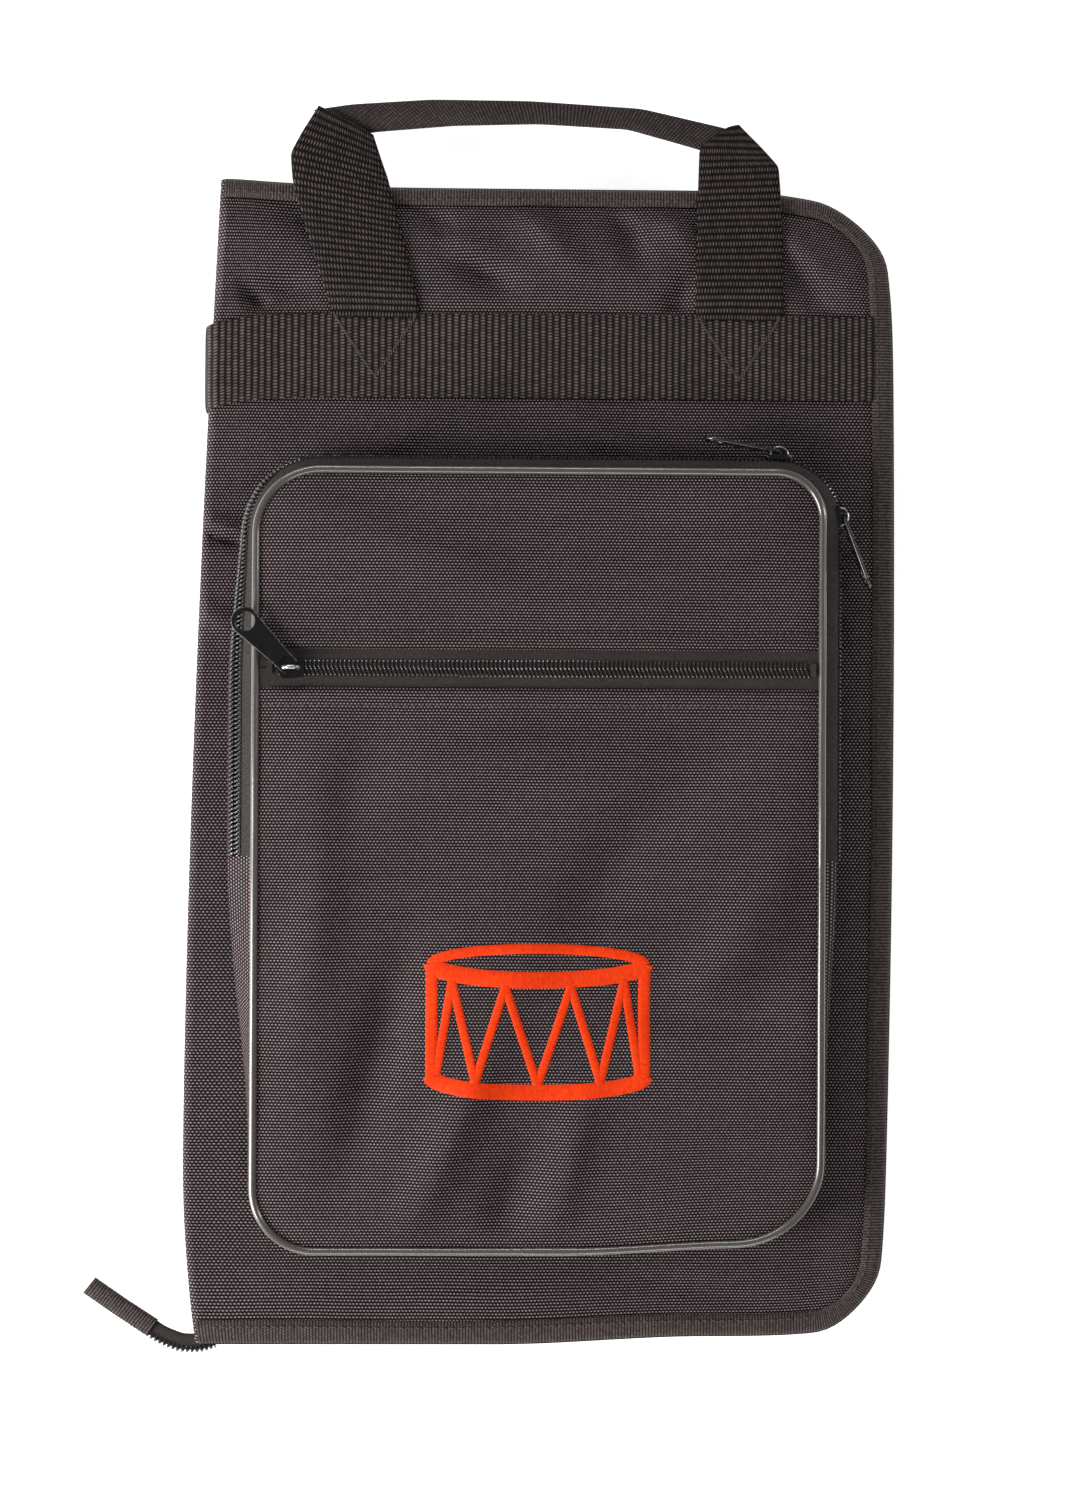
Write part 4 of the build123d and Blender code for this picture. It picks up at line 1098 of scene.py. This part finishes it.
tab = ribbon("zip_tail_end", tab_line, tab_across, 8.4 * MM, 5.0 * MM, power=3.5)
dress(tab, BINDING, "tail", "binding_tape", "zip_tail_tab")

# %% [markdown]
# ## Inside: the pockets for sticks
# Each cover's lining carries one sheet sewn down in channels, so that it stands in long half-tubes with open
# mouths. The same curve across the cover shapes the sheet and the bound edge of its mouth.

# %% The sheets in channels, and their bound mouths
for name, node, body, channels, sign, lining in (
        ("back_pocket_sheet", "back_stick_pocket", "back_cover", 3, 1, "back_cover_lining"),
        ("front_pocket_sheet", "front_stick_pocket", "front_cover", 2, -1, "front_cover_lining")):
    low, high = limits(node)
    seat = low[2] if sign > 0 else high[2]
    height = high[2] - low[2] - 1.4 * MM
    x, y = np.meshgrid(np.linspace(low[0], high[0], 36 * channels + 1), np.linspace(low[1], high[1], 60),
                       indexing="xy")

    def stand(x, y):
        """Half-tubes: height times |sin(pi channels u)| to the power 0.55, closing towards the foot."""
        u = (x - low[0]) / (high[0] - low[0])
        tube = np.abs(np.sin(np.pi * channels * u)) ** 0.55
        return height * tube * (0.12 + 0.88 * ease((y - low[1]) / (35 * MM)))

    outer = np.stack([x, y, seat + sign * (1.2 * MM + stand(x, y))], -1)
    inner = np.stack([x, y, seat + sign * (0.3 * MM + stand(x, y))], -1)
    sheet = slab(name, outer, inner, np.stack([x, y], -1))
    dress(sheet, LINING, body, "lining_fabric", node)
    x = np.linspace(low[0] + 0.5 * MM, high[0] - 0.5 * MM, 48 * channels)
    angle = np.linspace(0, 2 * np.pi, 17)
    line_z = seat + sign * (0.9 * MM + stand(x, np.full_like(x, high[1])))
    y = high[1] - 5.2 * MM + 5 * MM * np.cos(angle[:-1])
    z = 1.0 * MM * np.sin(angle[:-1])
    table = np.stack(np.broadcast_arrays(x[:, None], y, line_z[:, None] + z), -1)
    hem = carried(f"{name}_mouth", table, lengths(np.stack([x, line_z], -1)), angle * 5 * MM)
    dress(hem, BINDING, body, "binding_tape")

# %% [markdown]
# ## The embroidered drum
# The badge is satin stitch: dense shiny threads that cross each stroke from edge to edge, so every stroke
# is a little rounded and catches light along its middle. It shows a plain drum with its rims and zigzag cords.

# %% Thread that crosses the stroke
satin, inp, out = new_group("satin threads", {"Pitch": 0.45 * MM}, ["Height", "Thread and highlight"])
x, y = split(satin, inp["Vector"])
x = drift(satin, inp["Vector"], x, 500.0, 0.5 * MM)
lines = calc(satin, "DIVIDE", x, inp["Pitch"])
part = white(satin, calc(satin, "FLOOR", lines), calc(satin, "FLOOR", calc(satin, "DIVIDE", y, 1.6 * MM)), 5.0)
ridge = hill(satin, lines)
feed(satin, out["Height"], ridge)
# Thread and highlight: each thread is lighter along its crest, a painted highlight, plus a random tone for each thread.
feed(satin, out["Thread and highlight"], calc(satin, "MULTIPLY_ADD", calc(satin, "MULTIPLY", ridge, 0.6), 1.0,
                                calc(satin, "MULTIPLY", part, 0.4)))
EMBROIDERY, tree, shader = start_material("embroidery thread", 0.6, shine=0.15)
node = tree.nodes.new("ShaderNodeGroup")
node.node_tree = satin
feed(tree, node.inputs["Vector"], cloth_coordinates(tree))
# From deep red, painted shade between the threads, to orange, a painted highlight on their crests and a random tone.
feed(tree, shader.inputs["Base Color"], colour_mix(tree, node.outputs["Thread and highlight"], (0.72, 0.002, 0.0005),
                                                   (1.0, 0.075, 0.001)))
bump(tree, shader, node.outputs["Height"], 0.5, 0.1 * MM)


# %% Strokes of the drum
badge_low, badge_high = limits("badge")
badge_middle, badge_half = (badge_low + badge_high) / 2, (badge_high - badge_low) / 2
strokes = []


def stroke(line, width, rank=0):
    """A satin stroke along a line of (x, y) points: a dome 0.55 (1 - v^4) mm high across its width."""
    ahead = np.gradient(line, axis=0)
    ahead /= np.linalg.norm(ahead, axis=1)[:, None]
    side = np.stack([-ahead[:, 1], ahead[:, 0]], -1)
    v = np.linspace(-1, 1, 9)
    flat = line[:, None] + side[:, None] * (v * np.asarray(width) / 2)[..., None]
    base = face_level(flat[..., 0], flat[..., 1])
    dome = (0.12 + 0.5 * (1 - v ** 4) + 0.08 * rank) * MM
    top = np.concatenate([flat, (base + dome)[..., None]], -1)
    under = np.concatenate([flat, (base - 0.3 * MM)[..., None]], -1)
    uv = np.stack(np.broadcast_arrays(lengths(line)[:, None], (v + 1) * np.mean(width) / 2), -1)
    piece = slab(f"drum_stroke_{len(strokes) + 1:02d}", top, under, uv)
    strokes.append(dress(piece, EMBROIDERY, "front_cover", "embroidery", "badge"))


def arc(half_width, half_height, centre_y, start, stop, count=90):
    """Points of an ellipse from one angle to another, in degrees."""
    q = np.radians(np.linspace(start, stop, count))
    return np.stack([badge_middle[0] + half_width * np.cos(q), centre_y + half_height * np.sin(q)], -1)


wide, ellipse = badge_half[0] - 3.4 * MM, 6.6 * MM
head_y, foot_y = badge_high[1] - ellipse - 2.4 * MM, badge_low[1] + ellipse + 3.2 * MM
stroke(arc(wide, ellipse, head_y, 0, 180), 4.2 * MM)
stroke(arc(wide, ellipse, head_y, 180, 360), 7.0 * MM, 1)
stroke(arc(wide, ellipse, foot_y, 180, 360), 6.6 * MM)
for end in (-1, 1):
    x = badge_middle[0] + end * wide
    stroke(np.linspace([x, foot_y - 1.4 * MM], [x, head_y - 1 * MM], 40), 5.0 * MM)
POSTS = 5
marks = np.linspace(180, 360, 2 * POSTS + 1)[1:-1]
for k in range(len(marks) - 1):
    q = np.radians(marks[[k, k + 1]])
    level = (head_y - 3 * MM, foot_y + 3 * MM) if k % 2 else (foot_y + 3 * MM, head_y - 3 * MM)
    ends = [(badge_middle[0] + wide * np.cos(a), b + ellipse * np.sin(a)) for a, b in zip(q, level)]
    stroke(np.linspace(ends[0], ends[1], 30), 3.6 * MM)
print("strokes in the drum:", len(strokes))

# %% [markdown]
# ## Sliders and pulls
# The sliders and their pulls keep the shapes of the engineering model. They take on black enamel, and a bevel
# rounds their edges, because a sharp edge catches no light. The bridge of each slider is bare bright wire, and the
# paint on each pull is worn along its rim and round its eye, so those are thin wires of their own.

# %% Enamel on the metal parts
for name, node in nodes.items():
    if name.endswith(("slider", "pull")):
        finish = ENAMEL
    elif name == "small_zip_stops":
        finish = NYLON
    else:
        continue
    node.data.materials.clear()
    node.data.materials.append(finish)
    weld = node.modifiers.new("weld", "WELD")
    weld.merge_threshold = 0.02 * MM
    rounded = node.modifiers.new("rounded edges", "BEVEL")
    rounded.width, rounded.segments, rounded.limit_method = 0.22 * MM, 2, "ANGLE"
    rounded.angle_limit = np.radians(40)

# %% The bright wire bridge on each slider
BRIGHT = smooth_finish("polished bridge", (0.85, 0.80, 0.75), 0.28, 0.4, (0.20, 0.19, 0.18), metallic=1.0)


def wire_bridge(name, body, centre, ahead, out):
    """A wire arch over a slider: half an ellipse, ahead a cos(q) + out b sin(q), as a tube of 10 sides."""
    ahead, out = np.array(ahead, float), np.array(out, float)
    side = np.cross(ahead, out)
    q = np.linspace(np.radians(-12), np.radians(192), 40)[:, None]
    path = np.array(centre) + (ahead * 3.6 * np.cos(q) + out * (1.4 + 3.0 * np.sin(q))) * MM
    normal = ahead * np.cos(q) + out * np.sin(q)
    angle = np.linspace(0, 2 * np.pi, 11)
    ring = normal[:, None] * (0.55 * np.cos(angle[:-1]))[:, None] + side * (0.9 * np.sin(angle[:-1]))[:, None]
    arch = carried(name, path[:, None] + ring * MM, lengths(path), angle * 0.8 * MM)
    dress(arch, BRIGHT, body, "slider_metal")


for name, body, ahead, out in (("small", "small_zip_slider", (1, 0, 0), (0, 0, 1)),
                               ("pocket_top", "top_zip_slider", (1, 0, 0), (0, 1, 0)),
                               ("pocket_side", "side_zip_slider", (0, 1, 0), (1, 0, 0)),
                               ("main", "main_zip_slider", (1, 0, 0), (0, 1, 0))):
    low, high = limits(f"{name}_slider")
    centre = (low + high) / 2
    axis = int(np.argmax(out))
    centre[axis] = high[axis] - 4.4 * MM
    wire_bridge(f"{name}_bridge_wire", body, centre, ahead, out)

# %% The worn rim of each pull
WORN = smooth_finish("worn rim", (0.10, 0.094, 0.09), 0.24, 0.5, (0.02, 0.02, 0.02), metallic=0.9)


def rim_wire(name, body, flat, origin, lie, normal):
    """A thin tube along a closed line (n, 2) in a pull's own plane: origin + lie x + across y."""
    lie, normal = np.array(lie, float), np.array(normal, float)
    across = np.cross(normal, lie)
    path = np.array(origin) + (flat[:, :1] * lie + flat[:, 1:] * across) * MM
    ahead = np.roll(path, -1, 0) - np.roll(path, 1, 0)
    ahead /= np.linalg.norm(ahead, axis=1)[:, None]
    out = np.cross(ahead, normal)
    angle = np.linspace(0, 2 * np.pi, 9)
    ring = out[:, None] * (0.34 * np.cos(angle[:-1]))[:, None] + normal * (0.66 * np.sin(angle[:-1]))[:, None]
    run = lengths(np.concatenate([path, path[:1]]))
    wire = carried(name, path[:, None] + ring * MM, run, angle * 0.5 * MM, closed=True)
    dress(wire, WORN, body, "slider_metal")


turn = np.linspace(-np.pi / 2, np.pi / 2, 40)
near = np.linspace(np.pi / 2, 3 * np.pi / 2, 16)
far_end = np.stack([27 + 5.6 * np.cos(turn), 5.6 * np.sin(turn)], -1)
near_side = np.stack([1.2 + 1.6 * np.cos(near), np.sign(np.sin(near)) * 2.3 + 1.5 * np.sin(near)], -1)
outline = np.concatenate([far_end, [[6, 3.8]], near_side, [[6, -3.8]]])
angle = np.linspace(0, 2 * np.pi, 36, endpoint=False)
hole = np.stack([27 + 4.2 * np.cos(angle), 4.2 * np.sin(angle)], -1)
for name, body, pivot, degrees, upright in (
        ("small", "small_zip_pull", (-107, 38.7, 60.6), 135, True),
        ("pocket_top", "top_zip_pull", (98.3, 131.6, 47.2), 170, False),
        ("pocket_side", "side_zip_pull", (125.6, 104.3, 47.2), -70, False),
        ("main", "main_zip_pull", (-112, 244.6, 17), 0, False)):
    c, s = np.cos(np.radians(degrees)), np.sin(np.radians(degrees))
    normal = (0, 0, 1) if upright else (-s, c, 0)
    pivot = np.array(pivot) * MM
    rim_wire(f"{name}_pull_rim", body, outline, pivot, (c, s, 0), normal)
    rim_wire(f"{name}_pull_eye", body, hole, pivot, (c, s, 0), normal)

# %% [markdown]
# ## Floor, light and camera
# The bag lies on a white light table, which glows a little. The main soft light stands low and close at the left,
# so that folds show, the spine side is bright, and the strip behind the pocket is dark. A narrow light beyond the
# handle, one at the foot and one at the right draw the bright lines along the piping and the zips.

# %% The floor
floor_mesh = bpy.data.meshes.new("floor")
FLOOR_HALF, FLOOR_LEVEL = 20, -0.0006
corners = [(x * FLOOR_HALF, y * FLOOR_HALF, FLOOR_LEVEL) for x, y in ((-1, -1), (1, -1), (1, 1), (-1, 1))]
floor_mesh.from_pydata(corners, [], [(0, 1, 2, 3)])
floor = bpy.data.objects.new("floor", floor_mesh)
bpy.context.scene.collection.objects.link(floor)
floor_material, tree, shader = start_material("pale floor", 0.9)
shader.inputs["Base Color"].default_value = (0.93, 0.93, 0.93, 1)
shader.inputs["Emission Color"].default_value = (1, 1, 1, 1)
shader.inputs["Emission Strength"].default_value = 0.68
floor_mesh.materials.append(floor_material)
floor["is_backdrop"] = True


# %% Lights
def soft_light(name, place, target, size, power):
    """An area light that looks from its place at a target: its own -Z axis points along the difference."""
    light = bpy.data.lights.new(name, "AREA")
    light.shape, light.size, light.size_y = "RECTANGLE", *size
    light.energy = power
    holder = bpy.data.objects.new(name, light)
    bpy.context.scene.collection.objects.link(holder)
    aim = Vector(target) - Vector(place)
    holder.matrix_world = Matrix.Translation(place) @ aim.to_track_quat("-Z", "Y").to_matrix().to_4x4()


middle = (0.0, 0.0, 0.03)
soft_light("key", (-1.15, -0.4, 0.57), middle, (0.7, 0.9), 26)
soft_light("rim", (-0.5, 2.1, 1.1), middle, (1.7, 0.22), 18)
soft_light("foot", (0.1, -1.5, 1.0), middle, (1.4, 0.3), 9)
soft_light("edge", (1.5, 0.4, 0.9), middle, (0.2, 1.2), 6)
world = bpy.data.worlds.new("studio")
world.use_nodes = True
world.node_tree.nodes["Background"].inputs["Color"].default_value = (1, 1, 1, 1)
world.node_tree.nodes["Background"].inputs["Strength"].default_value = 0.16
bpy.context.scene.world = world
bpy.context.scene.view_settings.view_transform = "Standard"

# %% The camera
lens = bpy.data.cameras.new("camera")
lens.lens, lens.sensor_width = 72, 36
camera = bpy.data.objects.new("camera", lens)
bpy.context.scene.collection.objects.link(camera)
back = -Vector((0.0247, 0.0096, -0.9996)).normalized()
side = Vector((-0.0052, 0.9999, 0.0094)).cross(back).normalized()
turn = Matrix((side, back.cross(side), back)).transposed().to_4x4()
camera.matrix_world = Matrix.Translation((-0.035, -0.0074, 1.3139)) @ turn
bpy.context.scene.camera = camera

# %% The sizes, and the end
low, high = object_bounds()
print("visual box", [round(v, 4) for v in low], [round(v, 4) for v in high])
